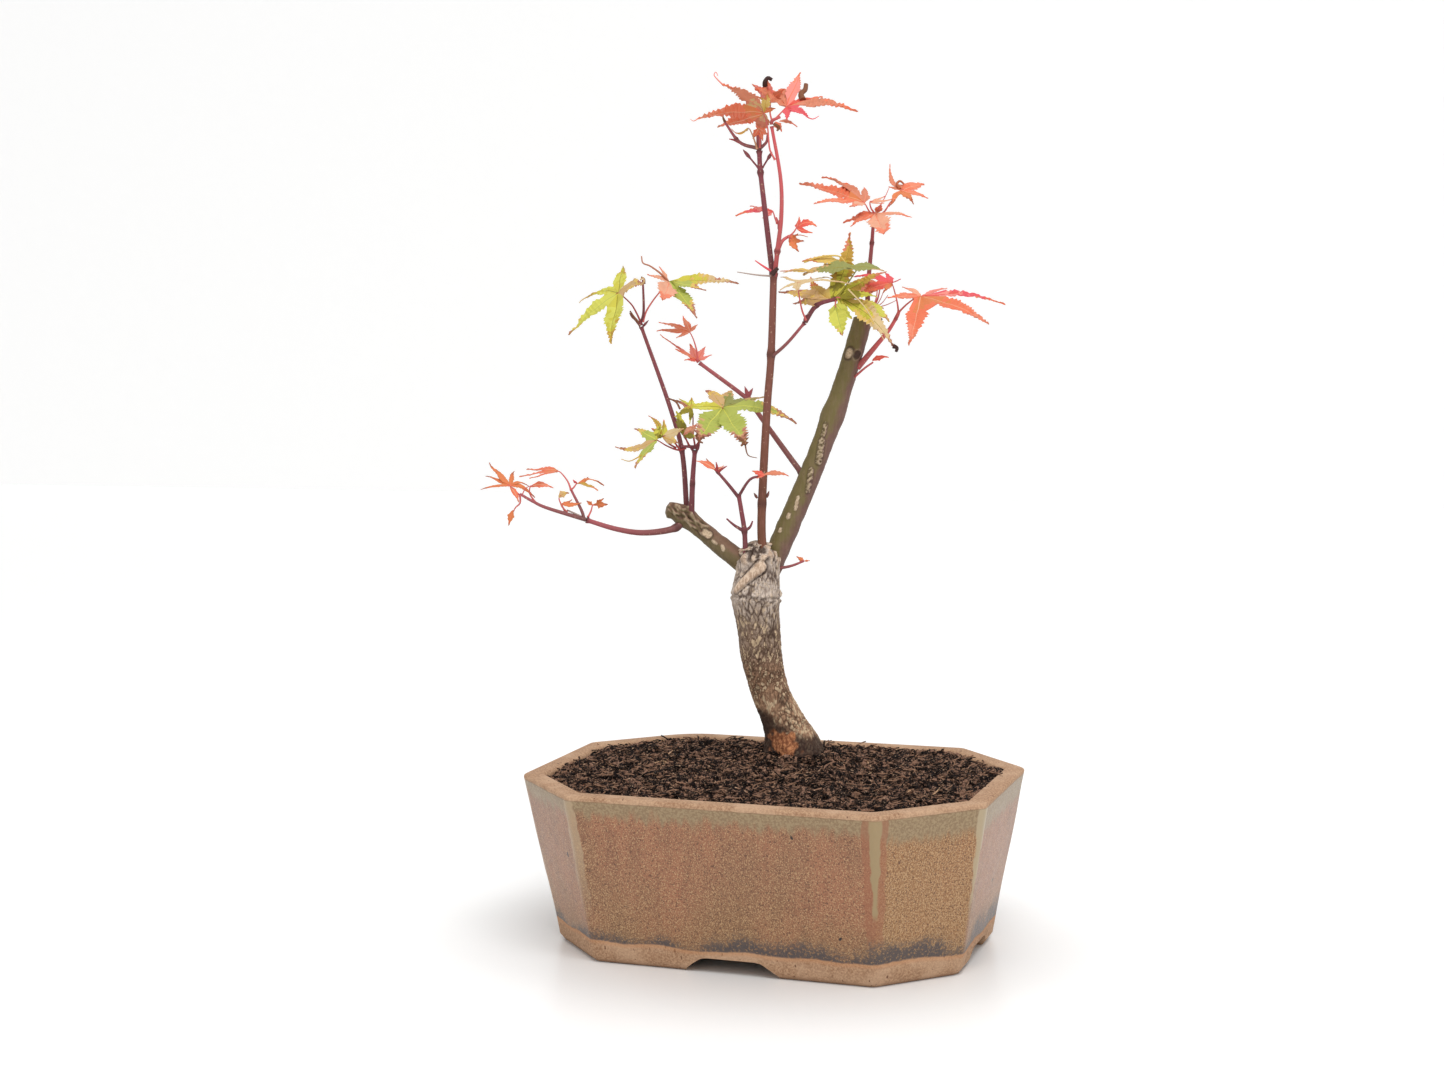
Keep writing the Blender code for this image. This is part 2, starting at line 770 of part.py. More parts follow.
def tube(name, spots, sides, grow=0.0, level=0.0, flare=None):
    """A closed tube through (x, y, z, diameter) stations, made wider and longer by grow."""
    centres = [Vector(s[:3]) for s in spots]
    radii = [s[3] / 2 + grow for s in spots]
    directions = []
    for i in range(len(centres)):
        ahead = centres[min(i + 1, len(centres) - 1)]
        behind = centres[max(i - 1, 0)]
        directions.append((ahead - behind).normalized())
    if level:
        for i, centre in enumerate(centres):
            t = min(1.0, (centre.z - centres[0].z) / level)
            directions[i] = Vector((0.0, 0.0, 1.0)).lerp(directions[i], t * t).normalized()
    centres[0] = centres[0] - directions[0] * grow
    centres[-1] = centres[-1] + directions[-1] * grow
    side = directions[0].orthogonal().normalized()
    rings = []
    for centre, direction, radius in zip(centres, directions, radii):
        side = (side - direction * side.dot(direction)).normalized()
        across = direction.cross(side)
        ring = []
        for step in range(sides):
            turn = 2 * math.pi * step / sides
            spread = side * math.cos(turn) + across * math.sin(turn)
            swell = flare(spread, centre) if flare else 1.0
            ring.append(centre + spread * radius * swell)
        rings.append(ring)
    return loft(name, rings)


def root_flare(spread, centre):
    """How far the trunk swells into its roots, by direction and height."""
    height = centre.z - TRUNK_ROUTE[0][2]
    fade = max(0.0, 1.0 - height / FLARE_HEIGHT) ** 2
    turn = math.atan2(spread.y, spread.x) - math.radians(FLARE_TURN)
    return 1.0 + FLARE_DEPTH * fade * (0.6 + 0.4 * math.cos(FLARE_LOBES * turn))


def make_trunk(grow=0.0):
    """The trunk, from its flat cut on the soil to the rounded knuckle at its top."""
    spots = smooth_line(TRUNK_ROUTE, 2)
    trunk = tube("trunk", spots, TRUNK_SIDES, grow, TRUNK_LEVEL_HEIGHT, root_flare)
    smooth_shade(trunk)
    return trunk


def grown_copy(name):
    """A limb or the trunk made wider by the clearance, to cut its neighbours with."""
    if name == "trunk":
        return make_trunk(CLEAR)
    limb = next(limb for limb in LIMBS if limb.name == name)
    return tube("grown", stations(limb.path, LIMB_STEPS), limb.sides, CLEAR)


def make_limb(limb):
    """One bough or shoot, cut back clear of what it grows out of."""
    made = tube(limb.name, stations(limb.path, LIMB_STEPS), limb.sides)
    if limb.rooted_in:
        cut_away(made, [grown_copy(name) for name in limb.rooted_in])
    smooth_shade(made)
    return made


# The foliage


def leaf_blade(leaf, chance):
    """A thin closed blade: lobes round the stalk's end, with notches between them."""
    half = leaf.lobes // 2
    lengths = {}
    for place in range(-half, half + 1):
        uneven = chance.uniform(0.97, 1.03) * leaf.length.get(place, 1.0)
        lengths[place] = leaf.span * LOBE_LENGTH[abs(place)] * uneven
    turn = math.atan2(LOBE_WIDTH, LOBE_WIDEST)
    notch_turn = math.radians(leaf.spread) / 2
    outline = [leaf.point(0, -LEAF_HEEL * leaf.span)]
    middles = []
    lobes = []
    for place, length in lengths.items():
        edge = length * math.hypot(LOBE_WIDTH, LOBE_WIDEST)
        lobes.append(len(outline))
        outline.append(leaf.point(place, edge, -turn))
        outline.append(leaf.point(place, length))
        outline.append(leaf.point(place, edge, turn))
        middles.append(leaf.point(place, length * LOBE_WIDEST, 0.0, -LOBE_FOLD * leaf.span))
        if place < half:
            notch = min(length, lengths[place + 1]) * SINUS_DEPTH
            sides = leaf.point(place, notch, notch_turn), leaf.point(place + 1, notch, -notch_turn)
            outline.append((sides[0] + sides[1]) / 2)
    return thin_solid(outline, middles, lobes, leaf.axes()[2] * LEAF_THICKNESS / 2)


def thin_solid(outline, middles, lobes, up):
    """Two sheets over a leaf's outline and its lobes' middles, closed round the rim."""
    rim = len(outline)
    sheet = outline + middles
    count = len(sheet)
    faces = []
    for number, first in enumerate(lobes):
        middle = rim + number
        right = [0, first] if number == 0 else [0, first - 1, first]
        left = [first + 2, 0] if number == len(lobes) - 1 else [first + 2, first + 3, 0]
        panels = [
            (*right, middle),
            (first, first + 1, middle),
            (first + 1, first + 2, middle),
            (*left, middle),
        ]
        for panel in panels:
            faces.append(panel)
            faces.append(tuple(count + v for v in reversed(panel)))
    for v in range(rim):
        w = (v + 1) % rim
        faces.append((v, count + v, count + w, w))
    points = [p + up for p in sheet] + [p - up for p in sheet]
    return mesh_object("blade", points, faces)


def leaf_stalk(leaf, twigs, chance):
    """The stalk, from the nearest joint of a twig to just inside the blade."""
    joints = [Vector(point) for twig in twigs for point in twig.points[1:]]
    end = Vector(leaf.at)
    start = min(joints, key=lambda joint: (joint - end).length)
    bow = Vector((chance.uniform(-0.1, 0.1), chance.uniform(-0.1, 0.1), 0.12))
    middle = (start + end) / 2 + bow * (end - start).length
    width = min(STALK_WIDTH, 0.35 + leaf.span * 0.04)
    inside = end + leaf.axes()[0] * leaf.span * 0.08
    spots = [(start, 1.15), (middle, 1.0), (end, 1.0), (inside, 0.8)]
    return tube("stalk", [(*p, width * taper) for p, taper in spots], STALK_SIDES)


def young_leaves(twig, chance):
    """Small leaves fanned out at a twig's tip, a little uneven."""
    tip = Vector(twig.points[-1])
    ahead = (tip - Vector(twig.points[-2])).normalized()
    heading = math.degrees(math.atan2(ahead.y, ahead.x))
    leaves = []
    for number in range(twig.young):
        turn = heading + YOUNG_FAN * (number - (twig.young - 1) / 2)
        span = YOUNG_SPAN * chance.uniform(0.9, 1.1)
        pitch = chance.uniform(-15, 15)
        roll = chance.uniform(-20, 20)
        leaves.append(Leaf(tuple(tip + ahead), turn, pitch, roll, span, 3))
    return leaves


def surface_tree(made):
    """An object's faces, sorted for finding where others touch them."""
    points = [vertex.co for vertex in made.data.vertices]
    return BVHTree.FromPolygons(points, [face.vertices for face in made.data.polygons])


def grow_mass(mass, limbs, chance, solver):
    """One mass: its twigs and those of its leaves that clear the limbs, joined."""
    pieces = [tube(mass.name, stations(twig, 1), TWIG_SIDES) for twig in mass.twigs]
    leaves = list(mass.leaves)
    for twig in mass.twigs:
        leaves += young_leaves(twig, chance)
    for leaf in leaves:
        pair = [leaf_stalk(leaf, mass.twigs, chance), leaf_blade(leaf, chance)]
        if any(limb.overlap(surface_tree(piece)) for limb in limbs for piece in pair):
            print(mass.name, "leaves out a leaf at", leaf.at)
            for piece in pair:
                bpy.data.objects.remove(piece, do_unlink=True)
        else:
            pieces += pair
    made = pieces[0]
    fuse(made, pieces[1:], solver)
    if mass.rooted_in:
        cut_away(made, [grown_copy(name) for name in mass.rooted_in])
    return made


def make_mass(mass, limbs):
    """A mass from the first seed and solver that join it into one closed body."""
    for seed in range(SEED, SEED + MOST_SEEDS):
        for solver in ("EXACT", "MANIFOLD"):
            made = grow_mass(mass, limbs, random.Random(seed), solver)
            if is_one_body(made.data):
                made.name = mass.name
                return made
            bpy.data.objects.remove(made, do_unlink=True)
    raise RuntimeError(f"{mass.name} doesn't join into one body")


def place_under(parent, made, finish, finishes):
    """Hang an object on an empty and give it its finish."""
    made.parent = parent
    made.data.materials.clear()
    made.data.materials.append(finishes[finish])


def main():
    """Build the pot, the soil, the limbs and the foliage."""
    clear_scene()
    finishes = make_finishes()
    base = bpy.data.objects.new("base", None)
    base.location = (ORIGIN_SHIFT_X * MM, 0.0, 0.0)
    tree = bpy.data.objects.new("tree", None)
    tree.parent = base
    tree.location = (PLANT_X * MM, PLANT_Y * MM, 0.0)
    tree.rotation_euler = (0.0, 0.0, math.radians(PLANT_TURN))
    for empty in (base, tree):
        bpy.context.scene.collection.objects.link(empty)
    place_under(base, make_pot(), "stoneware", finishes)
    place_under(base, make_soil(), "soil", finishes)
    trunk = make_trunk()
    place_under(tree, trunk, "bark", finishes)
    limb_trees = [surface_tree(trunk)]
    for limb in LIMBS:
        made = make_limb(limb)
        place_under(tree, made, limb.finish, finishes)
        limb_trees.append(surface_tree(made))
    for mass in MASSES:
        place_under(tree, make_mass(mass, limb_trees), mass.finish, finishes)


main()
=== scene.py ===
"""A small maple tree in an eight-sided stoneware pot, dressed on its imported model.

Sizes are in millimetres and become metres where a mesh is made. The pot and its soil
are built in the pot's frame, with its long side along X and its front towards -Y. The
tree is built in its own frame, turned about Z at the planting point: x runs across the
tree's front, y away from it and z up.
"""

import logging
import math
import random
from collections.abc import Iterable, Sequence
from dataclasses import dataclass, field
from enum import Enum
from typing import Union

import bmesh
import bpy
from mathutils import Matrix, Vector, noise
from mathutils.bvhtree import BVHTree


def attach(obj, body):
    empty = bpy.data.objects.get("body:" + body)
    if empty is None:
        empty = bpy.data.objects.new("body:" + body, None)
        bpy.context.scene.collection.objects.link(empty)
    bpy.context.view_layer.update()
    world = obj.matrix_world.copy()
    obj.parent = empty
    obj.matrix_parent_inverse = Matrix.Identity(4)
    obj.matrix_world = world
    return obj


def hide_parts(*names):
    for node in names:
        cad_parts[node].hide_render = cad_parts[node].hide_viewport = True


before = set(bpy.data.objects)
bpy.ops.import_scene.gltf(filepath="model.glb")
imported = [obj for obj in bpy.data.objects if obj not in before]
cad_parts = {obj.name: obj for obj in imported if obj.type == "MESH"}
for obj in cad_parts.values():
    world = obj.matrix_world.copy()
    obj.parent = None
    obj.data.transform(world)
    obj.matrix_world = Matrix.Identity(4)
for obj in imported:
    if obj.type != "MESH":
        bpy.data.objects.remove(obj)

log = logging.getLogger("bonsai")

MM = 0.001
SEED = 20
ORIGIN_SHIFT_X = 9.4  # of the pot's frame, from the part's
PLANT_X = -5.0
PLANT_Y = 22.0
PLANT_TURN = 20.0
TRUNK_FOOT = (7.0, 0.0)

POT_PLACE = Matrix.Translation((ORIGIN_SHIFT_X * MM, 0.0, 0.0)) @ Matrix.Scale(MM, 4)
TREE_PLACE = (
    Matrix.Translation(((PLANT_X + ORIGIN_SHIFT_X) * MM, PLANT_Y * MM, 0.0))
    @ Matrix.Rotation(math.radians(PLANT_TURN), 4, "Z")
    @ Matrix.Scale(MM, 4)
)

Number = Union[float, "Value"]


class Slot(Enum):
    """The material slots of the part."""

    STONEWARE = "stoneware"
    SOIL = "soil"
    BARK = "bark"
    SHOOT = "shoot"
    LEAF_RED = "leaf_red"
    LEAF_ORANGE = "leaf_orange"
    LEAF_GOLD = "leaf_gold"
    LEAF_GREEN = "leaf_green"


def linear(red: int, green: int, blue: int) -> tuple[float, float, float, float]:
    """A colour as a shader wants it, from what a screen shows.

    Args:
        red: The red part, 0 to 255.
        green: The green part.
        blue: The blue part.

    Returns:
        The colour's linear parts, with a full fourth part.
    """
    parts = []
    for value in (red, green, blue):
        share = value / 255
        parts.append(share / 12.92 if share <= 0.04045 else ((share + 0.055) / 1.055) ** 2.4)
    return parts[0], parts[1], parts[2], 1.0


def ease(value: float, low: float, high: float) -> float:
    """A smooth step from 0, where the value is at low, to 1 at high, which may lie below low."""
    share = min(1.0, max(0.0, (value - low) / (high - low)))
    return share * share * (3 - 2 * share)


class Value:
    """A node's output, with the shader maths that can follow it."""

    def __init__(self, graph: "Graph", socket: bpy.types.NodeSocket) -> None:
        """Hold an output of the graph."""
        self.graph = graph
        self.socket = socket

    def __add__(self, other: Number) -> "Value":
        """This plus another."""
        return self.graph.maths("ADD", self, other)

    def __radd__(self, other: Number) -> "Value":
        """Another plus this."""
        return self.graph.maths("ADD", other, self)

    def __sub__(self, other: Number) -> "Value":
        """This less another."""
        return self.graph.maths("SUBTRACT", self, other)

    def __rsub__(self, other: Number) -> "Value":
        """Another less this."""
        return self.graph.maths("SUBTRACT", other, self)

    def __mul__(self, other: Number) -> "Value":
        """This times another."""
        return self.graph.maths("MULTIPLY", self, other)

    def __truediv__(self, other: Number) -> "Value":
        """This over another."""
        return self.graph.maths("DIVIDE", self, other)

    def __pow__(self, other: Number) -> "Value":
        """This to the power of another."""
        return self.graph.maths("POWER", self, other)

    def rise(self, low: Number, high: Number) -> "Value":
        """A smooth step from 0, where this is low, to 1, where it is high."""
        settings = {"interpolation_type": "SMOOTHSTEP"}
        return self.graph.node("ShaderNodeMapRange", settings, {0: self, 1: low, 2: high, 3: 0.0, 4: 1.0})

    def fall(self, low: Number, high: Number) -> "Value":
        """A smooth step from 1, where this is low, to 0, where it is high."""
        return 1.0 - self.rise(low, high)

    def noise(self, scale: float, detail: float = 2.0, rough: float = 0.5) -> "Value":
        """Smooth noise about 0.5, read at this place."""
        inputs = {"Vector": self, "Scale": scale, "Detail": detail, "Roughness": rough}
        return self.graph.node("ShaderNodeTexNoise", None, inputs)

    def stretched(self, x: float, y: float, z: float) -> "Value":
        """This place with each axis multiplied."""
        return self.graph.vector("MULTIPLY", self, (x, y, z))

    def parts(self) -> list["Value"]:
        """The three parts of this vector."""
        split = self.graph.node("ShaderNodeSeparateXYZ", None, {0: self}).socket.node
        return [Value(self.graph, output) for output in split.outputs]

    def under(self, mask: Number, red: int, green: int, blue: int) -> "Value":
        """This colour under another, which covers it where the mask is 1."""
        return self.graph.mix(mask, self, linear(red, green, blue))


class Graph:
    """A node tree, built by expressions, and the sockets of its shader if it has one."""

    def __init__(self, tree: bpy.types.NodeTree) -> None:
        """Work on a node tree.

        Args:
            tree: The tree.
        """
        self.tree = tree
        shader = tree.nodes.get("Principled BSDF")
        self.shader = shader.inputs if shader else None

    def node(
        self, kind: str, settings: dict | None = None, inputs: dict | None = None, output: int | str = 0
    ) -> Value:
        """Add a node.

        Args:
            kind: The node's type.
            settings: Its settings.
            inputs: Values or links of its sockets, by name or number.
            output: The name or number of the output wanted.

        Returns:
            That output.
        """
        made = self.tree.nodes.new(kind)
        for name, value in (settings or {}).items():
            setattr(made, name, value)
        for key, value in (inputs or {}).items():
            self.feed(made.inputs[key], value)
        return Value(self, made.outputs[output])

    def feed(self, socket: bpy.types.NodeSocket, value: object) -> None:
        """Link a value to a socket, or set a constant on it.

        Args:
            socket: The socket to feed.
            value: A value of this graph, or a constant.
        """
        if isinstance(value, Value):
            self.tree.links.new(value.socket, socket)
        else:
            socket.default_value = value

    def shade(self, **values: object) -> None:
        """Feed sockets of the shader, named with low lines for spaces."""
        for name, value in values.items():
            self.feed(self.shader[name.replace("_", " ")], value)

    def bump(self, height: Value, depth: float) -> None:
        """Bump the surface by a height from 0 to 1, where 1 stands as high as the depth in millimetres."""
        inputs = {"Height": height, "Distance": depth * MM, "Strength": 1.0}
        self.shade(Normal=self.node("ShaderNodeBump", None, inputs))

    def maths(self, operation: str, *values: Number) -> Value:
        """Add a Math node for an operation on numbers."""
        return self.node("ShaderNodeMath", {"operation": operation}, dict(enumerate(values)))

    def vector(self, operation: str, *values: object, output: int | str = 0) -> Value:
        """Add a Vector Math node for an operation on vectors."""
        return self.node("ShaderNodeVectorMath", {"operation": operation}, dict(enumerate(values)), output)

    def facing(self, direction: tuple) -> Value:
        """How far the surface faces a direction."""
        normal = self.node("ShaderNodeNewGeometry", output="Normal")
        return self.vector("DOT_PRODUCT", normal, direction, output="Value")

    def mix(self, mask: Number, first: object, second: object) -> Value:
        """A colour between two, with the second where the mask is 1."""
        return self.node("ShaderNodeMix", {"data_type": "RGBA"}, {0: mask, 6: first, 7: second}, 2)

    def millimetres(self) -> Value:
        """The place on the piece, in millimetres."""
        return self.vector("MULTIPLY", self.node("ShaderNodeTexCoord", output="Object"), (1 / MM,) * 3)

    def attribute(self, name: str) -> Value:
        """A value that the mesh holds at its points."""
        return self.node("ShaderNodeAttribute", {"attribute_name": name}, output="Fac")


@dataclass(frozen=True)
class Finish:
    """A surface of one Principled shader, with the pattern that each kind adds."""

    name: str
    roughness: float = 0.6
    gloss: float = field(default=0.25, kw_only=True)

    def material(self) -> bpy.types.Material:
        """Make the material.

        Returns:
            The material, with its nodes.
        """
        made = bpy.data.materials.new(self.name)
        made.use_nodes = True
        graph = Graph(made.node_tree)
        graph.shade(Roughness=self.roughness, Specular_IOR_Level=self.gloss)
        self.dress(graph)
        return made

    def dress(self, graph: Graph) -> None:
        """Add this finish's colour and relief to the graph's shader."""


@dataclass(frozen=True)
class Glaze(Finish):
    """Speckled iron glaze that has run thin over buff stoneware, bare at the rim and foot."""

    roughness: float = 0.36
    gloss: float = field(default=0.35, kw_only=True)
    height: float = 76.2
    rim_line: float = 74.4
    foot_line: float = 10.9
    front_corner: tuple = ((62.75, -59.0), (68.0, -75.5))  # low and high end
    side_corner: tuple = ((91.75, -30.0), (105.0, -38.5))
    left_corner: tuple = ((-62.75, -59.0), (-68.0, -75.5))
    left_far_corner: tuple = ((-91.75, -30.0), (-105.0, -38.5))

    def dress(self, graph: Graph) -> None:
        """Lay the clay, the glaze, its runs and its specks over each other.

        Args:
            graph: The material's graph.
        """
        place = graph.vector("SUBTRACT", graph.millimetres(), (ORIGIN_SHIFT_X, 0.0, 0.0))
        z = place.parts()[2]
        glaze = self.slate(place, self.runs(place, self.band(place, self.field(place))))
        waves = place.stretched(1, 1, 0).noise(0.035, 1) * 4.5
        edge = self.foot_line - 3.4 + waves + place.noise(0.4) * 0.8
        over_foot = (z - edge).rise(0.0, 0.9)
        outside = graph.attribute("outside").rise(0.45, 0.55)
        below_rim = (z + place.noise(0.12) * 1.0).fall(self.rim_line, self.rim_line + 0.5)
        glazed = over_foot * outside * below_rim
        line = z.rise(self.rim_line - 0.9, self.rim_line - 0.2) * glazed
        flash = (z - edge).rise(-2.2, -0.2) * (1.0 - over_foot) * outside
        clay = self.clay(place).under(flash * 0.45, 196, 140, 98)
        graph.shade(
            Base_Color=graph.mix(glazed, clay, glaze.under(line * 0.55, 112, 78, 52)),
            Roughness=glazed * (-0.52 + place.noise(0.25, 3) * 0.16) + 0.84,
            Coat_Weight=glazed * 0.14,
            Coat_Roughness=0.22,
        )
        grain = place.noise(1.6, 3, 0.7)
        graph.bump(glazed * 0.55 + grain * 0.3 + place.noise(0.35) * 0.4, 0.35)

    def clay(self, place: Value) -> Value:
        """The bare clay: fine-grained buff with dark specks and cracks, and painted shade with some dirt
        under the foot.

        Args:
            place: The place in the pot's frame.

        Returns:
            Its colour.
        """
        graph = place.graph
        x, y, z = place.parts()
        x, y = graph.maths("ABSOLUTE", x), graph.maths("ABSOLUTE", y)
        grain = place.noise(1.1, 4, 0.7)
        colour = graph.mix(grain.rise(0.35, 0.65), linear(150, 112, 84), linear(192, 156, 124))
        colour = colour.under(place.noise(0.06).rise(0.4, 0.65) * 0.5, 204, 170, 140)
        specks = place.stretched(1, 1, 0.45).noise(0.75, 1).rise(0.71, 0.75)
        colour = colour.under(specks * 0.8, 92, 58, 42)
        chip = graph.vector("DISTANCE", place, tuple(SIGHT.on_level(645.5, 796, 76.0)), output="Value")
        colour = colour.under((chip + grain * 2.0).fall(1.5, 2.2), 96, 58, 46)
        colour = colour.under(z.fall(0.0, 2.4) * grain.rise(0.3, 0.6) * 0.6, 110, 78, 60)
        # Painted shade, with some dirt, on the clay under the foot and inside its arches.
        below = z.fall(9, 16) * y.fall(48, 54) * x.fall(79, 85) * (x + y).fall(103, 111)
        return colour.under(below * 0.93, 40, 30, 27)

    def field(self, place: Value) -> Value:
        """The glaze's main field: red brown, with gold flecks that thicken downwards.

        Args:
            place: The place in the pot's frame.

        Returns:
            Its colour.
        """
        graph = place.graph
        golden = graph.facing((0.707, -0.707, 0.0)).rise(0.9, 0.97)
        cloud = place.stretched(1, 1, 0.35).noise(0.055, 3)
        low = 1.0 - place.parts()[2] / self.height
        colour = graph.mix(cloud.rise(0.35, 0.68), linear(156, 105, 76), linear(140, 99, 71))
        streak = place.stretched(1, 1, 0.18).noise(0.16, 3, 0.65)
        colour = colour.under(streak.rise(0.52, 0.66) * 0.45, 124, 82, 60)
        colour = colour.under((low + cloud * 0.6).rise(0.7, 1.2) * 0.45, 140, 108, 72)
        density = 0.575 - low * 0.035 - golden * 0.045 - cloud * 0.04
        flecks = (place.stretched(1, 1, 0.8).noise(1.9, 2, 0.7) - density).rise(0.0, 0.045)
        colour = colour.under(golden * 0.6, 146, 106, 62).under(flecks * 0.7, 196, 160, 117)
        colour = colour.under(place.noise(1.5).rise(0.56, 0.64) * 0.8, 92, 60, 46)
        return colour.under(place.noise(0.17, 0).rise(0.845, 0.86), 48, 38, 36)

    def band(self, place: Value, under: Value) -> Value:
        """The khaki band below the rim, with its lower edge run in drips.

        Args:
            place: The place in the pot's frame.
            under: The colour below it.

        Returns:
            The colour with the band.
        """
        x, _, z = place.parts()
        drips = place.stretched(1, 1, 0.06).noise(0.3, 3, 0.65)
        band = (z + drips * 15.0 + x.rise(55, 80) * 3.5).rise(self.height - 4.0, self.height + 1.5)
        fine = place.noise(0.9, 2, 0.7).rise(0.4, 0.62)
        khaki = place.graph.mix(fine, linear(136, 113, 84), linear(156, 135, 102))
        return place.graph.mix(band * 0.95, under, khaki)

    def run_mask(self, place: Value, corner: tuple, wide: Number) -> Value:
        """A run of glaze down a corner.

        Args:
            place: The place in the pot's frame.
            corner: The low and high end of the corner's line.
            wide: Half the run's width.

        Returns:
            1 in the run and 0 off it.
        """
        x, y, z = place.parts()
        (low_x, low_y), (high_x, high_y) = corner
        share = z / self.height
        off_x = x - (share * (high_x - low_x) + low_x)
        off_y = y - (share * (high_y - low_y) + low_y)
        off = (off_x * off_x + off_y * off_y) ** 0.5
        return (off + place.noise(0.13) * 4.0 - 2.0 - wide).fall(-0.5, 0.5)

    def runs(self, place: Value, under: Value) -> Value:
        """The pale runs down the corners, with a redder edge beside the longest; the two on the left
        chamfer's corners are glaze runs with a painted highlight along the edge.

        Args:
            place: The place in the pot's frame.
            under: The colour below them.

        Returns:
            The colour with the runs.
        """
        z = place.parts()[2]
        taper = (z - 30.0) * 0.045 + 0.9
        drip = self.run_mask(place, self.front_corner, taper) * z.rise(29, 34)
        halo = self.run_mask(place, self.front_corner, taper + 3.2) * z.rise(14, 24)
        side = self.run_mask(place, self.side_corner, (z - 24.0) * 0.05 + 0.6) * z.rise(22, 40)
        # The left chamfer's two corner streaks: glaze runs with a painted highlight along each edge.
        left = self.run_mask(place, self.left_corner, 3.2) * z.rise(12, 60)
        far = self.run_mask(place, self.left_far_corner, 2.6)
        colour = under.under(halo * 0.6, 150, 94, 66).under(drip, 156, 134, 98)
        colour = colour.under(side * 0.9, 176, 158, 128).under(left * 0.7, 178, 154, 124)
        return colour.under(far * 0.5, 186, 164, 140)

    def slate(self, place: Value, under: Value) -> Value:
        """The blue-grey mottling where the glaze gathered above the foot.

        Args:
            place: The place in the pot's frame.
            under: The colour below it.

        Returns:
            The colour with the mottling.
        """
        patch = place.stretched(1, 1, 0.5).noise(0.035, 3)
        zone = (place.parts()[2] + patch * -34.0).fall(-6, 4)
        spots = (place.noise(0.9, 3, 0.75) + zone * 0.2).rise(0.6, 0.66)
        return under.under(zone * 0.45, 124, 100, 74).under(spots * zone * 0.9, 74, 68, 70)


@dataclass(frozen=True)
class Peat(Finish):
    """Dark peat: near-black crumb with browner and paler bits."""

    roughness: float = 0.95
    dark: tuple = linear(24, 13, 10)
    brown: tuple = linear(140, 106, 88)
    pale: tuple = linear(196, 160, 134)
    grain: float = 0.5

    def dress(self, graph: Graph) -> None:
        """Mix the peat's browns at the size of its crumbs.

        Args:
            graph: The material's graph.
        """
        place = graph.millimetres()
        fine = place.noise(self.grain * 4)
        colour = graph.mix(place.noise(self.grain, 2, 0.6).rise(0.46, 0.62), self.dark, self.brown)
        graph.shade(Base_Color=graph.mix(fine.rise(0.6, 0.72) * 0.6, colour, self.pale))
        graph.bump(fine, 0.4)


@dataclass(frozen=True)
class Bark(Finish):
    """Grey to brown bark, with dark fissures partly deepened by painted shade, bare scar wood and painted
    shade over its foot.
    """

    roughness: float = 0.82

    def dress(self, graph: Graph) -> None:
        """Colour the bark by its height and by the marks that its mesh holds.

        Args:
            graph: The material's graph.
        """
        place = graph.millimetres()
        x, _, z = place.parts()
        fine = place.stretched(1, 1, 0.45).noise(0.9, 3, 0.7)
        worm = place.stretched(1, 1, 0.5).noise(0.66, 2, 0.6)
        wrinkle = place.stretched(0.5, 0.5, 2).noise(0.7, 2, 0.6)
        up = z + place.noise(0.09, 3) * 26.0 - 13.0
        colour = graph.mix(up.rise(112, 138), linear(180, 142, 112), linear(162, 142, 124))
        colour = colour.under(up.rise(138, 154), 212, 196, 182)
        colour = colour.under(fine.rise(0.38, 0.7) * 0.6, 96, 72, 58)
        colour = colour.under(wrinkle.rise(0.54, 0.68) * 0.4, 98, 72, 57)
        middle = up.rise(104, 112) * up.fall(132, 142)
        colour = colour.under(middle * worm.rise(0.38, 0.5) * 0.65, 88, 62, 47)
        right_low = x.rise(0, 7) * up.fall(104, 112) * 0.05
        flakes = (worm + right_low).rise(0.55, 0.6) * (1.0 - up.rise(134, 150) * 0.5)
        colour = colour.under(flakes * 0.85, 214, 188, 154)
        # The fissures' dark colour is partly their own and partly painted shade.
        colour = colour.under(graph.attribute("crack") * 0.9, 66, 46, 36)
        # Painted shade over the trunk's foot, reaching higher on its left side.
        colour = colour.under((up + (x - 12.0) * 0.55).fall(89, 96) * 0.9, 52, 34, 28)
        rusty = graph.mix(fine.rise(0.4, 0.66), linear(126, 76, 50), linear(196, 134, 92))
        colour = graph.mix(graph.attribute("bare"), colour, rusty)
        colour = colour.under(graph.attribute("dark"), 58, 40, 32)
        wood = graph.mix(fine.rise(0.36, 0.62) * 0.75, linear(222, 198, 174), linear(158, 126, 102))
        graph.shade(Base_Color=graph.mix(graph.attribute("pale"), colour, wood))
        graph.bump(fine, 0.22)


@dataclass(frozen=True)
class YoungBark(Finish):
    """The smooth skin of a bough: olive to mauve brown, finely streaked along it."""

    roughness: float = 0.62
    skin: tuple = linear(110, 98, 60)
    flush: tuple = linear(114, 84, 76)
    flush_side: tuple = (0.94, 0.34, 0.0)  # the side that is flushed

    def dress(self, graph: Graph) -> None:
        """Flush one side, streak it, and lay the mesh's marks over it.

        Args:
            graph: The material's graph.
        """
        place = graph.millimetres()
        streaks = place.stretched(1, 1, 0.12).noise(0.9, 3, 0.65)
        fine = place.noise(0.9, 3, 0.7)
        flush = (graph.facing(self.flush_side) + place.noise(0.12, 3) - 0.5).rise(-0.05, 0.6)
        colour = graph.mix(flush, self.skin, self.flush)
        colour = colour.under(streaks.rise(0.42, 0.66) * 0.3, 134, 112, 90)
        colour = colour.under(place.noise(1.3, 1).rise(0.66, 0.72) * 0.35, 86, 66, 50)
        colour = colour.under(graph.attribute("dark"), 64, 46, 38)
        wood = graph.mix(fine.rise(0.4, 0.66) * 0.7, linear(208, 186, 158), linear(146, 120, 96))
        graph.shade(Base_Color=graph.mix(graph.attribute("pale"), colour, wood))
        graph.bump(streaks + fine * 0.5, 0.15)


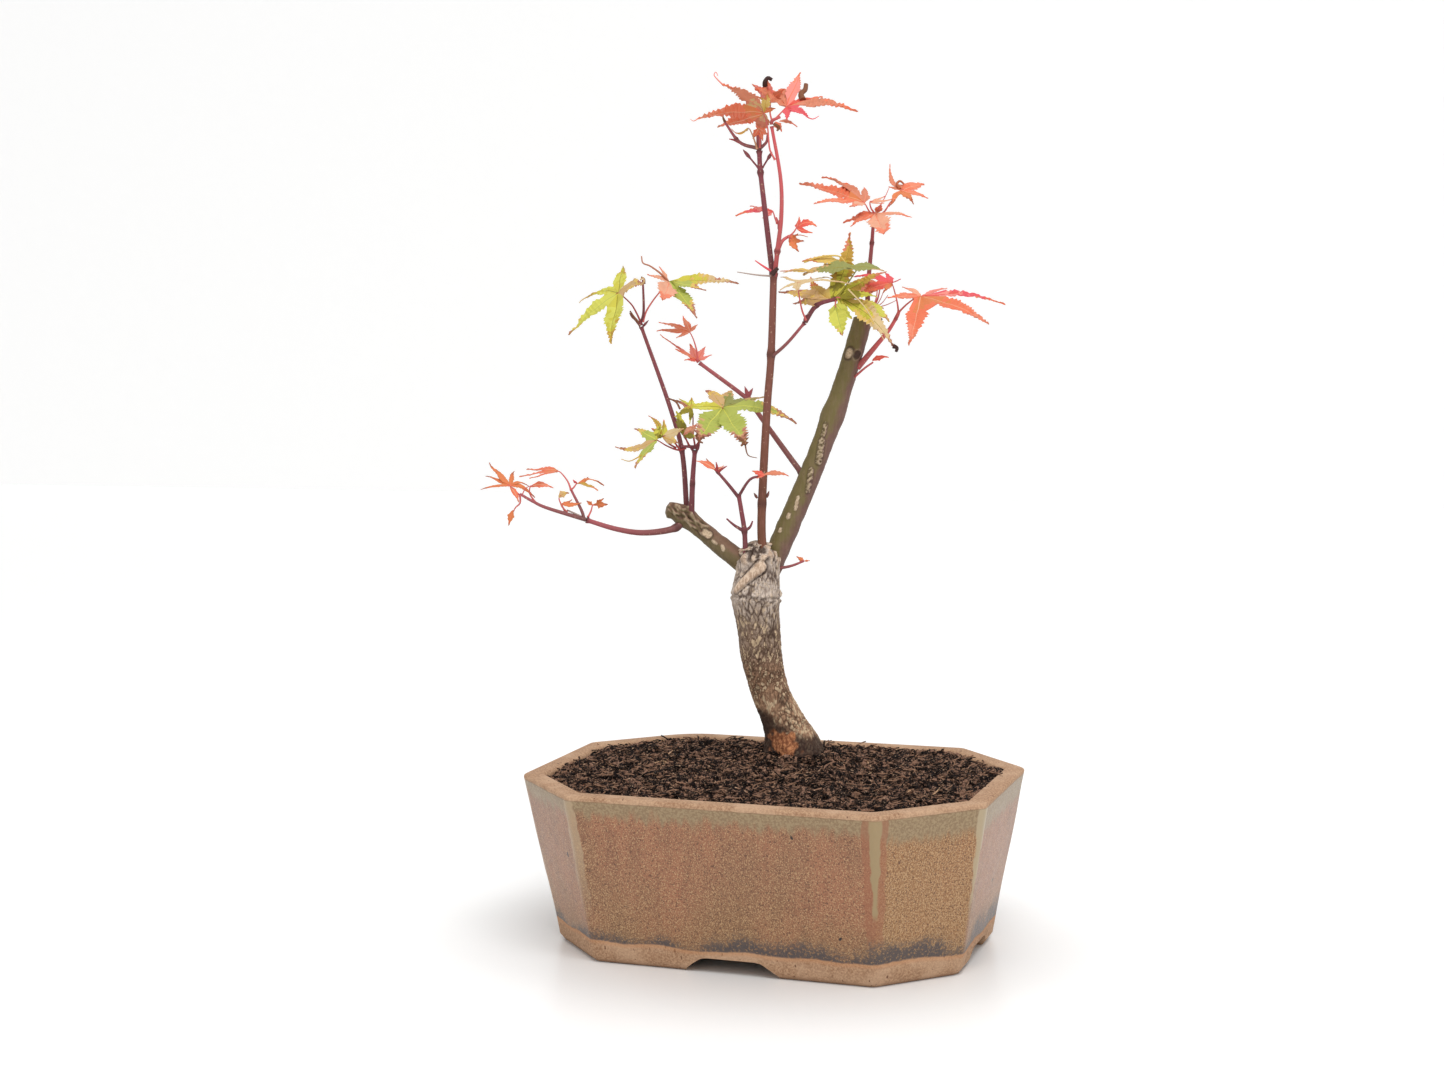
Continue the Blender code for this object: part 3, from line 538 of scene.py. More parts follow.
@dataclass(frozen=True)
class Skin(Finish):
    """The skin of a shoot or stalk, redder where it is young and darker at its nodes."""

    roughness: float = 0.5
    old: tuple = linear(96, 56, 52)
    young: tuple = linear(132, 74, 72)

    def dress(self, graph: Graph) -> None:
        """Redden the skin towards its tip, and darken its nodes.

        Args:
            graph: The material's graph.
        """
        place = graph.millimetres()
        streaks = place.stretched(1, 1, 0.2).noise(1.1, 2, 0.6)
        colour = graph.mix(graph.attribute("age"), self.old, self.young)
        colour = colour.under(streaks.rise(0.45, 0.7) * 0.3, 150, 98, 90)
        colour = colour.under(place.noise(0.9, 0).rise(0.76, 0.8) * 0.6, 190, 160, 132)
        graph.shade(Base_Color=colour.under(graph.attribute("node") * 0.6, 72, 42, 38))
        graph.bump(streaks, 0.08)


@dataclass(frozen=True)
class LeafSkin(Finish):
    """A leaf's or stalk's surface in one autumn colour, finely netted with veins."""

    roughness: float = 0.55
    colour: tuple = linear(230, 135, 107)

    def dress(self, graph: Graph) -> None:
        """Set the colour, and net the surface with veins.

        Args:
            graph: The material's graph.
        """
        graph.shade(Base_Color=self.colour)
        inputs = {"Vector": graph.millimetres(), "Scale": 0.9}
        veins = graph.node("ShaderNodeTexVoronoi", {"feature": "DISTANCE_TO_EDGE"}, inputs)
        graph.bump(veins.rise(0.0, 0.2), 0.06)


@dataclass(frozen=True)
class Plaster(Finish):
    """The studio's plain pale floor and wall."""

    shade: float = 0.9
    glow: float = 0.0

    def dress(self, graph: Graph) -> None:
        """Set the plain shade, and a glow that grows with the distance.

        Args:
            graph: The material's graph.
        """
        away = graph.vector("LENGTH", graph.millimetres().stretched(0.75, 1, 1), output="Value")
        graph.shade(
            Base_Color=(self.shade, self.shade, self.shade * 0.995, 1.0),
            Emission_Color=graph.mix(away.rise(60, 150), (0, 0, 0, 1), (1, 1, 1, 1)),
            Emission_Strength=self.glow,
        )


class Tint(Enum):
    """The leaves' colours, as a screen shows them."""

    CRIMSON = (224, 88, 96)
    SCARLET = (220, 92, 78)
    CORAL = (228, 120, 86)
    SALMON = (230, 136, 106)
    PINK = (232, 140, 128)
    PEACH = (228, 166, 136)
    DUSKY = (210, 130, 100)
    RUST = (178, 98, 64)
    ORANGE = (214, 126, 76)
    TAN = (204, 168, 118)
    PALE_TAN = (214, 188, 140)
    OCHRE = (196, 158, 70)
    GOLD = (216, 184, 100)
    LIME = (200, 192, 72)
    YELLOW = (208, 206, 92)
    GREEN = (174, 182, 88)
    OLIVE = (142, 132, 44)
    SAGE = (150, 152, 90)
    PINK_BROWN = (184, 124, 100)
    BROWN = (126, 80, 54)
    DARK = (62, 38, 34)
    STALK_PINK = (206, 104, 100)
    STALK_RED = (158, 62, 62)
    STALK_TAN = (188, 142, 110)
    STALK_GREY = (170, 150, 140)

    def skin(self, start: str) -> LeafSkin:
        """The finish of this colour, whose name has this start."""
        return LeafSkin(start + self.name.lower(), colour=linear(*self.value))

    def slot(self) -> Slot:
        """The part's slot that a leaf of this colour belongs to.

        Returns:
            The slot.
        """
        if self in (Tint.LIME, Tint.YELLOW, Tint.GREEN, Tint.OLIVE, Tint.SAGE):
            return Slot.LEAF_GREEN
        if self in (Tint.TAN, Tint.PALE_TAN, Tint.OCHRE, Tint.GOLD, Tint.STALK_GREY):
            return Slot.LEAF_GOLD
        if self in (Tint.ORANGE, Tint.RUST, Tint.BROWN, Tint.DARK):
            return Slot.LEAF_ORANGE
        return Slot.LEAF_RED


class Palette(Enum):
    """How a leaf's colours follow each other from its stalk, with its ribs' colour first."""

    CRIMSON = (Tint.SCARLET, (Tint.CRIMSON, 9.0))
    SCARLET = (Tint.SALMON, (Tint.SCARLET, 0.7), (Tint.CORAL, 9.0))
    CORAL = (Tint.PEACH, (Tint.ORANGE, 0.25), (Tint.CORAL, 0.75), (Tint.SALMON, 0.95), (Tint.DUSKY, 9.0))
    SALMON = (Tint.PEACH, (Tint.CORAL, 0.4), (Tint.SALMON, 0.85), (Tint.CORAL, 9.0))
    PINK = (Tint.CORAL, (Tint.PINK, 0.8), (Tint.SALMON, 9.0))
    PEACH = (Tint.SALMON, (Tint.PEACH, 0.75), (Tint.SALMON, 9.0))
    DUSKY = (Tint.SALMON, (Tint.DUSKY, 0.8), (Tint.CORAL, 9.0))
    ROSE = (Tint.CRIMSON, (Tint.SCARLET, 0.3), (Tint.PINK, 0.5), (Tint.CRIMSON, 0.8), (Tint.CORAL, 9.0))
    ORANGE = (Tint.CORAL, (Tint.ORANGE, 0.75), (Tint.RUST, 9.0))
    GOLD = (Tint.OCHRE, (Tint.GOLD, 0.7), (Tint.ORANGE, 9.0))
    OLIVE_TAN = (Tint.DUSKY, (Tint.TAN, 0.3), (Tint.DUSKY, 0.75), (Tint.CORAL, 9.0))
    LIME = (Tint.OLIVE, (Tint.LIME, 0.35), (Tint.YELLOW, 0.6), (Tint.LIME, 0.8), (Tint.OCHRE, 9.0))
    OCHRE = (Tint.TAN, (Tint.OCHRE, 0.75), (Tint.ORANGE, 9.0))
    YELLOW = (Tint.GREEN, (Tint.YELLOW, 0.9), (Tint.GOLD, 1.0), (Tint.PINK_BROWN, 9.0))
    GREEN = (Tint.YELLOW, (Tint.GREEN, 0.66), (Tint.GOLD, 0.82), (Tint.PINK_BROWN, 9.0))
    SCORCHED = (Tint.YELLOW, (Tint.GREEN, 0.72), (Tint.TAN, 0.8), (Tint.PINK_BROWN, 0.98), (Tint.BROWN, 9.0))
    OLIVE = (Tint.OLIVE, (Tint.OLIVE, 0.2), (Tint.LIME, 0.45), (Tint.OCHRE, 0.85), (Tint.DUSKY, 9.0))
    MOSS = (Tint.OLIVE, (Tint.OLIVE, 0.7), (Tint.LIME, 9.0))
    SAGE = (Tint.OLIVE, (Tint.SAGE, 0.72), (Tint.TAN, 9.0))
    TAN = (Tint.OCHRE, (Tint.TAN, 0.6), (Tint.GOLD, 0.8), (Tint.PINK_BROWN, 9.0))
    PALE_TAN = (Tint.TAN, (Tint.PALE_TAN, 0.8), (Tint.TAN, 9.0))
    LIME_TAN = (Tint.OLIVE, (Tint.LIME, 0.42), (Tint.GOLD, 0.6), (Tint.PALE_TAN, 0.9), (Tint.PINK_BROWN, 9.0))
    DRY = (Tint.BROWN, (Tint.PINK_BROWN, 0.5), (Tint.BROWN, 9.0))
    FALLEN = (Tint.BROWN, (Tint.RUST, 9.0))


@dataclass
class Shape:
    """Points in millimetres, the faces between them, and values at each point."""

    points: list[Vector] = field(default_factory=list)
    faces: list[tuple[int, ...]] = field(default_factory=list)
    values: dict[str, list[float]] = field(default_factory=dict)

    def loft(self, rings: list[list[Vector]]) -> None:
        """Join rings of equal count, and cap both ends.

        Args:
            rings: The rings, each anticlockwise seen from the last one.
        """
        start = len(self.points)
        count = len(rings[0])
        self.points += [point for ring in rings for point in ring]
        for level in range(len(rings) - 1):
            low = start + level * count
            for i in range(count):
                j = (i + 1) % count
                self.faces.append((low + i, low + j, low + count + j, low + count + i))
        self.faces.append(tuple(range(start, start + count))[::-1])
        last = start + (len(rings) - 1) * count
        self.faces.append(tuple(range(last, last + count)))

    def make(self, name: str, place: Matrix, sharp: float = 35.0) -> bpy.types.Object:
        """Turn the shape into an object whose place is in its mesh.

        Args:
            name: The object's name.
            place: From the shape's frame and millimetres to the part's and metres.
            sharp: The angle past which an edge stays sharp, in degrees.

        Returns:
            The object, in the scene.
        """
        made = new_piece(name, [place @ point for point in self.points], [], self.faces, self.values)
        smoothen(made, sharp)
        return made


def link(name: str, data: bpy.types.ID) -> bpy.types.Object:
    """Put a mesh, lamp or camera in the scene.

    Args:
        name: The name of its object.
        data: The mesh, lamp or camera.

    Returns:
        The object.
    """
    made = bpy.data.objects.new(name, data)
    bpy.context.scene.collection.objects.link(made)
    return made


def new_piece(name: str, points: list, edges: list, faces: list, values: dict) -> bpy.types.Object:
    """Make a mesh and its object.

    Args:
        name: The name of both.
        points: The points, in metres.
        edges: The edges that no face has.
        faces: The faces.
        values: The values held at the points, by name.

    Returns:
        The object, in the scene.
    """
    mesh = bpy.data.meshes.new(name)
    mesh.from_pydata(points, edges, faces)
    for key, numbers in values.items():
        mesh.attributes.new(key, "FLOAT", "POINT").data.foreach_set("value", numbers)
    return link(name, mesh)


def smoothen(piece: bpy.types.Object, sharp: float) -> None:
    """Shade a piece smooth, but for edges sharper than an angle in degrees."""
    piece.data.shade_smooth()
    piece.data.set_sharp_from_angle(angle=math.radians(sharp))


def dress(piece: bpy.types.Object, finish: Finish) -> None:
    """Give a piece its one material."""
    piece.data.materials.clear()
    piece.data.materials.append(finish.material())


def settle(piece: bpy.types.Object, slot: Slot, nodes: Iterable[str], finish: Finish | None = None) -> None:
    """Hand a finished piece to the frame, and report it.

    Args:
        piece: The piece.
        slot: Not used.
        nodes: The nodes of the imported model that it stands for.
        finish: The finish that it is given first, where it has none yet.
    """
    if finish:
        dress(piece, finish)
    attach(piece, "root")
    names = sorted(nodes)
    if names:
        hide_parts(*names)
    log.info("%s: %d faces", piece.name, len(piece.data.polygons))


def bake(piece: bpy.types.Object) -> None:
    """Turn a piece's modifiers into its own mesh.

    Args:
        piece: The piece.
    """
    graph = bpy.context.evaluated_depsgraph_get()
    mesh = bpy.data.meshes.new_from_object(piece.evaluated_get(graph))
    piece.modifiers.clear()
    piece.data = mesh


class Rule:
    """A tree of geometry nodes with named inputs, which a piece runs once."""

    def __init__(self, name: str, inputs: dict[str, str]) -> None:
        """Start the tree.

        Args:
            name: The tree's name.
            inputs: The kind of each input socket after the geometry, by name.
        """
        self.tree = bpy.data.node_groups.new(name, "GeometryNodeTree")
        sockets = self.tree.interface
        sockets.new_socket("Geometry", in_out="OUTPUT", socket_type="NodeSocketGeometry")
        sockets.new_socket("Geometry", in_out="INPUT", socket_type="NodeSocketGeometry")
        for key, kind in {**inputs, "Material": "NodeSocketMaterial"}.items():
            sockets.new_socket(key, in_out="INPUT", socket_type=kind)
        self.graph = Graph(self.tree)
        self.source = self.tree.nodes.new("NodeGroupInput")

    def read(self, name: str) -> Value:
        """One of the tree's inputs."""
        return Value(self.graph, self.source.outputs[name])

    def finish(self, geometry: Value) -> None:
        """Make the instances real, give them their material and end the tree.

        Args:
            geometry: What the tree makes.
        """
        real = self.graph.node("GeometryNodeRealizeInstances", None, {0: geometry})
        inputs = {"Geometry": real, "Material": self.read("Material")}
        clad = self.graph.node("GeometryNodeSetMaterial", None, inputs)
        end = self.tree.nodes.new("NodeGroupOutput")
        self.tree.links.new(clad.socket, end.inputs["Geometry"])

    def run(self, piece: bpy.types.Object, values: dict[str, object]) -> None:
        """Run the tree on a piece and keep the result as its mesh.

        Args:
            piece: The object that the tree starts from.
            values: The inputs' values, by name.
        """
        modifier = piece.modifiers.new("rule", "NODES")
        modifier.node_group = self.tree
        for item in self.tree.interface.items_tree:
            if item.in_out == "INPUT" and item.name in values:
                modifier[item.identifier] = values[item.name]
        bake(piece)


def smooth_line(points: Iterable, steps: int) -> list[Vector]:
    """A smooth curve through points.

    Args:
        points: The points that it passes through.
        steps: How many pieces each stretch is cut into.

    Returns:
        The curve's points.
    """
    knots = [Vector(p) for p in points]
    knots = [knots[0] * 2 - knots[1], *knots, knots[-1] * 2 - knots[-2]]
    line = []
    for i in range(1, len(knots) - 2):
        p0, p1, p2, p3 = knots[i - 1 : i + 3]
        for step in range(steps):
            t = step / steps
            linear_part = (p2 - p0) * t
            square = (p0 * 2 - p1 * 5 + p2 * 4 - p3) * t * t
            cube = (p1 * 3 - p0 - p2 * 3 + p3) * t**3
            line.append((p1 * 2 + linear_part + square + cube) * 0.5)
    line.append(knots[-2])
    return line


@dataclass
class Station:
    """A place along a limb: its middle, thickness, share of the length and node."""

    centre: Vector
    width: float
    share: float
    node: float = 0.0


@dataclass
class Path:
    """A tapering path: the points that it bends through and the widths of its ends."""

    points: list
    base: float
    tip: float
    nodes: tuple = ()  # (share of the length, swelling) where buds have grown

    def stations(self, spacing: float = 1.2) -> list[Station]:
        """Where the path runs, and how thick it is there.

        Args:
            spacing: About how far apart the stations are.

        Returns:
            The stations, from its base.
        """
        line = smooth_line(self.points, 12)
        lengths = [0.0]
        for a, b in zip(line, line[1:]):
            lengths.append(lengths[-1] + (b - a).length)
        total = lengths[-1]
        count = max(3, round(total / spacing))
        spots = []
        for step in range(count + 1):
            share = step / count
            index = max(i for i, length in enumerate(lengths) if length <= share * total + 1e-6)
            index = min(index, len(line) - 2)
            part = (share * total - lengths[index]) / max(1e-6, lengths[index + 1] - lengths[index])
            mean = self.base + (self.tip - self.base) * share
            swell, node = 1.0, 0.0
            for place, amount in self.nodes:
                away = abs(share - place) * total / (mean * 0.55)
                swell += amount * math.exp(-away * away)
                node = max(node, math.exp(-away * away * 1.5))
            centre = line[index].lerp(line[index + 1], part)
            spots.append(Station(centre, mean * swell, share, node))
        return spots


@dataclass
class Tubing:
    """Tubes along many paths, joined in one piece."""

    name: str
    sides: int
    lines: list[list[Station]] = field(default_factory=list)
    nodes: set[str] = field(default_factory=set)
    sharp: float = 60.0  # the angle past which an edge stays sharp

    def follow(self, stations: list[Station], node: str) -> None:
        """Add a path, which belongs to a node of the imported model."""
        self.lines.append(stations)
        self.nodes.add(node)

    @staticmethod
    def rule() -> Rule:
        """The geometry nodes that sweep a round section along each path.

        Returns:
            The tree.
        """
        rule = Rule("tubes", {"Sides": "NodeSocketInt"})
        graph = rule.graph
        curve = graph.node("GeometryNodeMeshToCurve", None, {0: rule.read("Geometry")})
        settings = {"data_type": "FLOAT"}
        width = graph.node("GeometryNodeInputNamedAttribute", settings, {"Name": "width"})
        sizes = {"Resolution": rule.read("Sides"), "Radius": 1.0}
        section = graph.node("GeometryNodeCurvePrimitiveCircle", None, sizes)
        inputs = {"Curve": curve, "Profile Curve": section, "Scale": width * 0.5, "Fill Caps": True}
        rule.finish(graph.node("GeometryNodeCurveToMesh", None, inputs))
        return rule

    def build(self, rule: Rule, finish: Finish) -> bpy.types.Object:
        """Sweep the tubes.

        Args:
            rule: The geometry nodes of rule().
            finish: The skin that they all have.

        Returns:
            The piece.
        """
        points, edges = [], []
        values: dict[str, list[float]] = {"width": [], "age": [], "node": []}
        for line in self.lines:
            for number, station in enumerate(line):
                if number:
                    edges.append((len(points) - 1, len(points)))
                points.append(TREE_PLACE @ station.centre)
                values["width"].append(station.width * MM)
                values["age"].append(station.share)
                values["node"].append(station.node)
        piece = new_piece(self.name, points, edges, [], values)
        rule.run(piece, {"Sides": self.sides, "Material": finish.material()})
        piece.data.name = self.name
        smoothen(piece, self.sharp)
        return piece


@dataclass
class Pot:
    """The eight-sided pot: tapered walls, an eased rim and a foot with four arches."""

    height: float = 76.2
    rim: tuple[float, float, float] = (210.0, 151.0, 37.0)  # length, width and corner cut
    base: tuple[float, float, float] = (183.5, 118.0, 29.0)
    corner_radius: float = 5.0
    soft_radius: float = 30.0  # of the corner at the back left, worn by hand in the clay
    corner_steps: int = 7
    levels: int = 12  # of points up the wall
    rim_thickness: float = 9.0
    easing: float = 1.5
    wall: float = 8.0
    floor_top: float = 15.0
    foot_ring: float = 12.0
    foot_recess: float = 7.5
    foot_turn: tuple[float, float] = (1.6, 3.0)
    arch_height: float = 6.8
    front_arch: tuple[float, float] = (43.0, 25.0)
    side_arch: tuple[float, float] = (34.0, 20.0)
    drain_radius: float = 7.0
    drain_place: float = 45.0
    drain_sides: int = 32
    uneven: tuple[float, float] = (0.5, 0.12)  # how far broad and fine waves of its face reach
    sharp: float = 38.0  # the angle past which an edge stays sharp

    def outline(self, height: float, inset: float) -> list[Vector]:
        """The outline at a height, drawn in from the outer face.

        Args:
            height: The height above the ground.
            inset: How far it is drawn in.

        Returns:
            Its points, anticlockwise.
        """
        share = height / self.height
        length, width, cut = (b + (r - b) * share for b, r in zip(self.base, self.rim))
        half_length, half_width = length / 2 - inset, width / 2 - inset
        cut -= (2 - math.sqrt(2)) * inset
        corners = []
        for sx, sy in ((1, -1), (1, 1), (-1, 1), (-1, -1)):
            long_side = Vector((sx * (half_length - cut), sy * half_width))
            short_side = Vector((sx * half_length, sy * (half_width - cut)))
            corners += [long_side, short_side] if sx * sy < 0 else [short_side, long_side]
        points = []
        for index, corner in enumerate(corners):
            before = (corners[index - 1] - corner).normalized()
            after = (corners[(index + 1) % 8] - corner).normalized()
            worn = corner.x < 0 and corner.y > half_width - 0.01
            radius = self.soft_radius if worn else self.corner_radius
            reach = radius / math.tan(before.angle(after) / 2)
            start, end = corner + before * reach, corner + after * reach
            for step in range(self.corner_steps + 1):
                t = step / self.corner_steps
                flat = start * (1 - t) ** 2 + corner * 2 * t * (1 - t) + end * t * t
                points.append(Vector((flat.x, flat.y, height)))
        return points

    def rings(self) -> list[tuple[float, float, float]]:
        """The wall's rings.

        Returns:
            (height, inset, 1 outside and 0 inside) from under the foot, round the rim.
        """
        turn_in, turn_height = self.foot_turn
        rings = [
            (self.foot_recess, self.foot_ring + 1.0, 0.0),
            (0.0, self.foot_ring, 0.0),
            (0.0, turn_in + 0.6, 1.0),
            (0.5, turn_in - 0.3, 1.0),
            (turn_height, 0.0, 1.0),
        ]
        top = self.height - self.easing
        for level in range(1, self.levels + 1):
            rings.append((turn_height + (top - turn_height) * level / self.levels, 0.0, 1.0))
        for step in range(1, 5):
            turn = math.pi / 2 * step / 4
            rings.append((top + self.easing * math.sin(turn), self.easing * (1 - math.cos(turn)), 1.0))
        for step in range(0, 5):
            turn = math.pi / 2 * step / 4
            inset = self.rim_thickness - self.easing * (1 - math.sin(turn))
            rings.append((top + self.easing * math.cos(turn), inset, 0.0))
        rings.append((60.0, self.rim_thickness - 0.2, 0.0))
        rings.append((self.floor_top, self.wall, 0.0))
        return rings

    def build(self) -> None:
        """Make the wall, cut its arches and drains, and glaze it."""
        shape = Shape()
        rings, outside = [], []
        for height, inset, out in self.rings():
            ring = self.outline(height, inset)
            for point in ring:
                away = Vector((point.x, point.y, 0.0)).normalized()
                broad, fine = noise.noise(point * 0.03), noise.noise(point * 0.11)
                if 4.0 < height and inset < self.rim_thickness:
                    point += away * (broad * self.uneven[0] + fine * self.uneven[1])
            rings.append(ring)
            outside += [out] * len(ring)
        shape.loft(rings)
        shape.values["outside"] = outside
        pot = shape.make("pot_body", POT_PLACE)
        cutters = [self.arch(self.front_arch, False), self.arch(self.side_arch, True)]
        cutters += [self.drain(-self.drain_place), self.drain(self.drain_place)]
        for cutter in cutters:
            cut = pot.modifiers.new("cut", "BOOLEAN")
            cut.operation = "DIFFERENCE"
            cut.object = cutter
            cut.solver = "EXACT"
        bake(pot)
        for cutter in cutters:
            bpy.data.objects.remove(cutter, do_unlink=True)
        smoothen(pot, self.sharp)
        settle(pot, Slot.STONEWARE, ["pot"], Glaze("iron_glaze"))

    def arch(self, widths: tuple[float, float], along_x: bool) -> bpy.types.Object:
        """The tapered bar that leaves an arch at both ends.

        Args:
            widths: The arch's width at the ground and at its top.
            along_x: Whether it runs along the pot, and not across it.

        Returns:
            The bar.
        """
        low, high = widths[0] / 2, widths[1] / 2
        half = []
        for share in (-0.15, 0.0, 0.12, 0.3, 0.55, 0.8, 0.94, 1.0):
            narrow = low + (high - low) * share + 0.9 * math.sin(max(0.0, share) * math.pi)
            half.append((narrow - (2.0 if share == 1.0 else 0.0), share * self.arch_height))
        section = [(a, z) for a, z in half] + [(-a, z) for a, z in reversed(half)]
        length = self.rim[0] if along_x else self.rim[1]
        ends = []
        for end in (-length / 2, length / 2):
            ends.append([Vector((end, a, z)) if along_x else Vector((a, end, z)) for a, z in section])
        return self.cutter(ends)

    def drain(self, x: float) -> bpy.types.Object:
        """A round bar for a hole through the floor.

        Args:
            x: The hole's place along the pot.

        Returns:
            The bar.
        """
        rings = []
        for height in (-1.0, self.floor_top + 1.0):
            turns = [2 * math.pi * step / self.drain_sides for step in range(self.drain_sides)]
            reaches = [Vector((math.cos(turn), math.sin(turn), 0.0)) * self.drain_radius for turn in turns]
            rings.append([Vector((x, 0.0, height)) + reach for reach in reaches])
        return self.cutter(rings)

    @staticmethod
    def cutter(rings: list[list[Vector]]) -> bpy.types.Object:
        """A closed bar that the pot is cut with.

        Args:
            rings: The bar's ends.

        Returns:
            The bar, with its faces outward.
        """
        shape = Shape()
        shape.loft(rings)
        made = shape.make("cutter", POT_PLACE)
        body = bmesh.new()
        body.from_mesh(made.data)
        bmesh.ops.recalc_face_normals(body, faces=body.faces)
        body.to_mesh(made.data)
        body.free()
        return made


@dataclass
class Soil:
    """The peat: a low mound with crumbs, fibres, fine roots and fallen bits on it."""

    pot: Pot
    edge_front: float = 73.6
    edge_back: float = 75.0
    top: float = 80.5
    pad_radius: float = 17.0
    gap: float = 0.35
    rings: int = 100
    spacing: float = 1.9  # of the points along a ring
    crumbs_per_metre: float = 300000.0  # square metre
    crumb_sizes: tuple[float, float] = (0.4, 2.6)  # smallest and largest, by the crumb as drawn
    fibres_per_metre: float = 215000.0
    fibre_sizes: tuple[float, float] = (0.7, 2.6)
    ground: BVHTree | None = None

    def pad(self) -> Vector:
        """The mound's middle, in the pot's frame."""
        turn = Matrix.Rotation(math.radians(PLANT_TURN), 4, "Z")
        return Matrix.Translation((PLANT_X, PLANT_Y, 0.0)) @ turn @ Vector((*TRUNK_FOOT, 0.0))

    def relief(self, x: float, y: float) -> float:
        """The lumps of the peat.

        Args:
            x: The place along the pot.
            y: The place across it.

        Returns:
            How far they stand above the peat's mean surface.
        """
        place = Vector((x, y, 0.0))
        lumps = noise.noise(place * 0.09) * 1.2 + noise.noise(place * 0.26) * 2.2
        return lumps + noise.noise(place * 0.7) * 1.2

    def build(self) -> None:
        """Make the mound and what lies on it."""
        mound = self.mound()
        dress(mound, Peat("peat"))
        crumbs = Peat("crumbs", grain=0.3)
        fibres = Peat("fibres", brown=linear(150, 114, 92), pale=linear(222, 188, 156), grain=0.2)
        for name, rule, density, (smallest, largest), finish in (
            ("soil_crumbs", self.crumb_rule(), self.crumbs_per_metre, self.crumb_sizes, crumbs),
            ("soil_fibres", self.fibre_rule(), self.fibres_per_metre, self.fibre_sizes, fibres),
        ):
            bits = link(name, mound.data.copy())
            values = {"Density": density, "Smallest": smallest, "Largest": largest, "Seed": SEED}
            rule.run(bits, {**values, "Material": finish.material()})
            bits.data.name = name
            settle(bits, Slot.SOIL, ["soil"])
        settle(mound, Slot.SOIL, ["soil"])

    def mound(self) -> bpy.types.Object:
        """The peat's own surface, closed below.

        Returns:
            The mound.
        """
        pad = self.pad()
        inset = self.pot.rim_thickness + self.gap
        fine = self.resampled(self.pot.outline(self.edge_front, inset), self.spacing)
        edge = []
        for point in fine:
            back = (point.y / (self.pot.rim[1] / 2) + 1) / 2
            height = self.edge_front + (self.edge_back - self.edge_front) * back
            edge.append(Vector((point.x, point.y, height)))
        count = len(edge)
        low = [Vector((p.x * 0.985, p.y * 0.985, self.edge_back - 5.0)) for p in edge]
        outline = self.pot.outline(self.pot.floor_top + 0.3, self.pot.wall + 0.8)
        floor = self.resampled(outline, self.spacing, count)
        rings = [floor, low]
        for step in range(self.rings + 1):
            share = step / self.rings
            rise = 0.5 - 0.5 * math.cos(math.pi * min(1.0, share))
            ring = []
            for point in edge:
                reach = Vector((point.x - pad.x, point.y - pad.y)) * (1 - share)
                x, y = pad.x + reach.x, pad.y + reach.y
                near = 1.0 - ease(reach.length, self.pad_radius * 0.5, self.pad_radius * 2.2)
                height = point.z + (self.top - 1.2 - point.z) * max(rise * 0.55, near)
                rough = ease(share, 0.0, 0.03) * (1.0 + near * 1.2)
                ring.append(Vector((x, y, height + self.relief(x, y) * rough)))
            rings.append(ring)
        shape = Shape()
        shape.loft(rings[:-1])
        self.ground = BVHTree.FromPolygons(shape.points, shape.faces)
        return shape.make("soil_mound", POT_PLACE, 180.0)

    def lying(self, x: float, y: float, lift: float) -> Vector:
        """Where a place in the photograph is on the peat.

        Args:
            x: How far right it is in the photograph.
            y: How far down it is.
            lift: How far it stands off the peat.

        Returns:
            The place, in the tree's frame.
        """
        start, ray = SIGHT.ray(x, y, POT_PLACE)
        spot = self.ground.ray_cast(start, ray.normalized())[0] or SIGHT.on_level(x, y, self.pot.height)
        return TREE_PLACE.inverted() @ POT_PLACE @ (spot + Vector((0.0, 0.0, lift)))

    def roots(self, rule: Rule) -> None:
        """The pale fine roots on the peat, and a fallen leaf.

        Args:
            rule: The geometry nodes that sweep tubes.
        """
        tubing = Tubing("soil_roots", 6)
        for width, *places in ROOTS:
            points = [self.lying(x, y, width * 0.4) for x, y in places]
            tubing.follow(Path(points, width, width * 0.6).stations(0.7), "soil")
        finish = Skin("root_skin", 0.8, linear(190, 152, 116), linear(206, 172, 134))
        settle(tubing.build(rule, finish), Slot.SOIL, ["soil"])
        shapes: dict[Tint, Shape] = {}
        for (x, y), *tips in FALLEN:
            lobes = [Lobe(a, b, self.lying(a, b, 1.2).y, 0.3) for a, b in tips]
            blade = Blade(Leaf((x, y, self.lying(x, y, 0.9).y), lobes, Palette.FALLEN), random.Random(SEED))
            blade.build()
            blade.thicken(shapes)
        for tint, shape in shapes.items():
            piece = shape.make("soil_leaf_" + tint.name.lower(), TREE_PLACE, 40.0)
            settle(piece, Slot.SOIL, ["soil"], tint.skin("fallen_"))

    @staticmethod
    def resampled(outline: list[Vector], spacing: float, count: int = 0) -> list[Vector]:
        """A closed outline at even steps.

        Args:
            outline: Its points.
            spacing: About how far apart the new points are.
            count: How many points, in place of the spacing.

        Returns:
            The new points, from the same start.
        """
        ends = outline[1:] + outline[:1]
        lengths = [(b - a).length for a, b in zip(outline, ends)]
        total = sum(lengths)
        count = count or round(total / spacing)
        points = []
        index, passed = 0, 0.0
        for step in range(count):
            wanted = total * step / count
            while passed + lengths[index] < wanted:
                passed += lengths[index]
                index += 1
            share = (wanted - passed) / lengths[index]
            points.append(outline[index].lerp(ends[index], share))
        return points

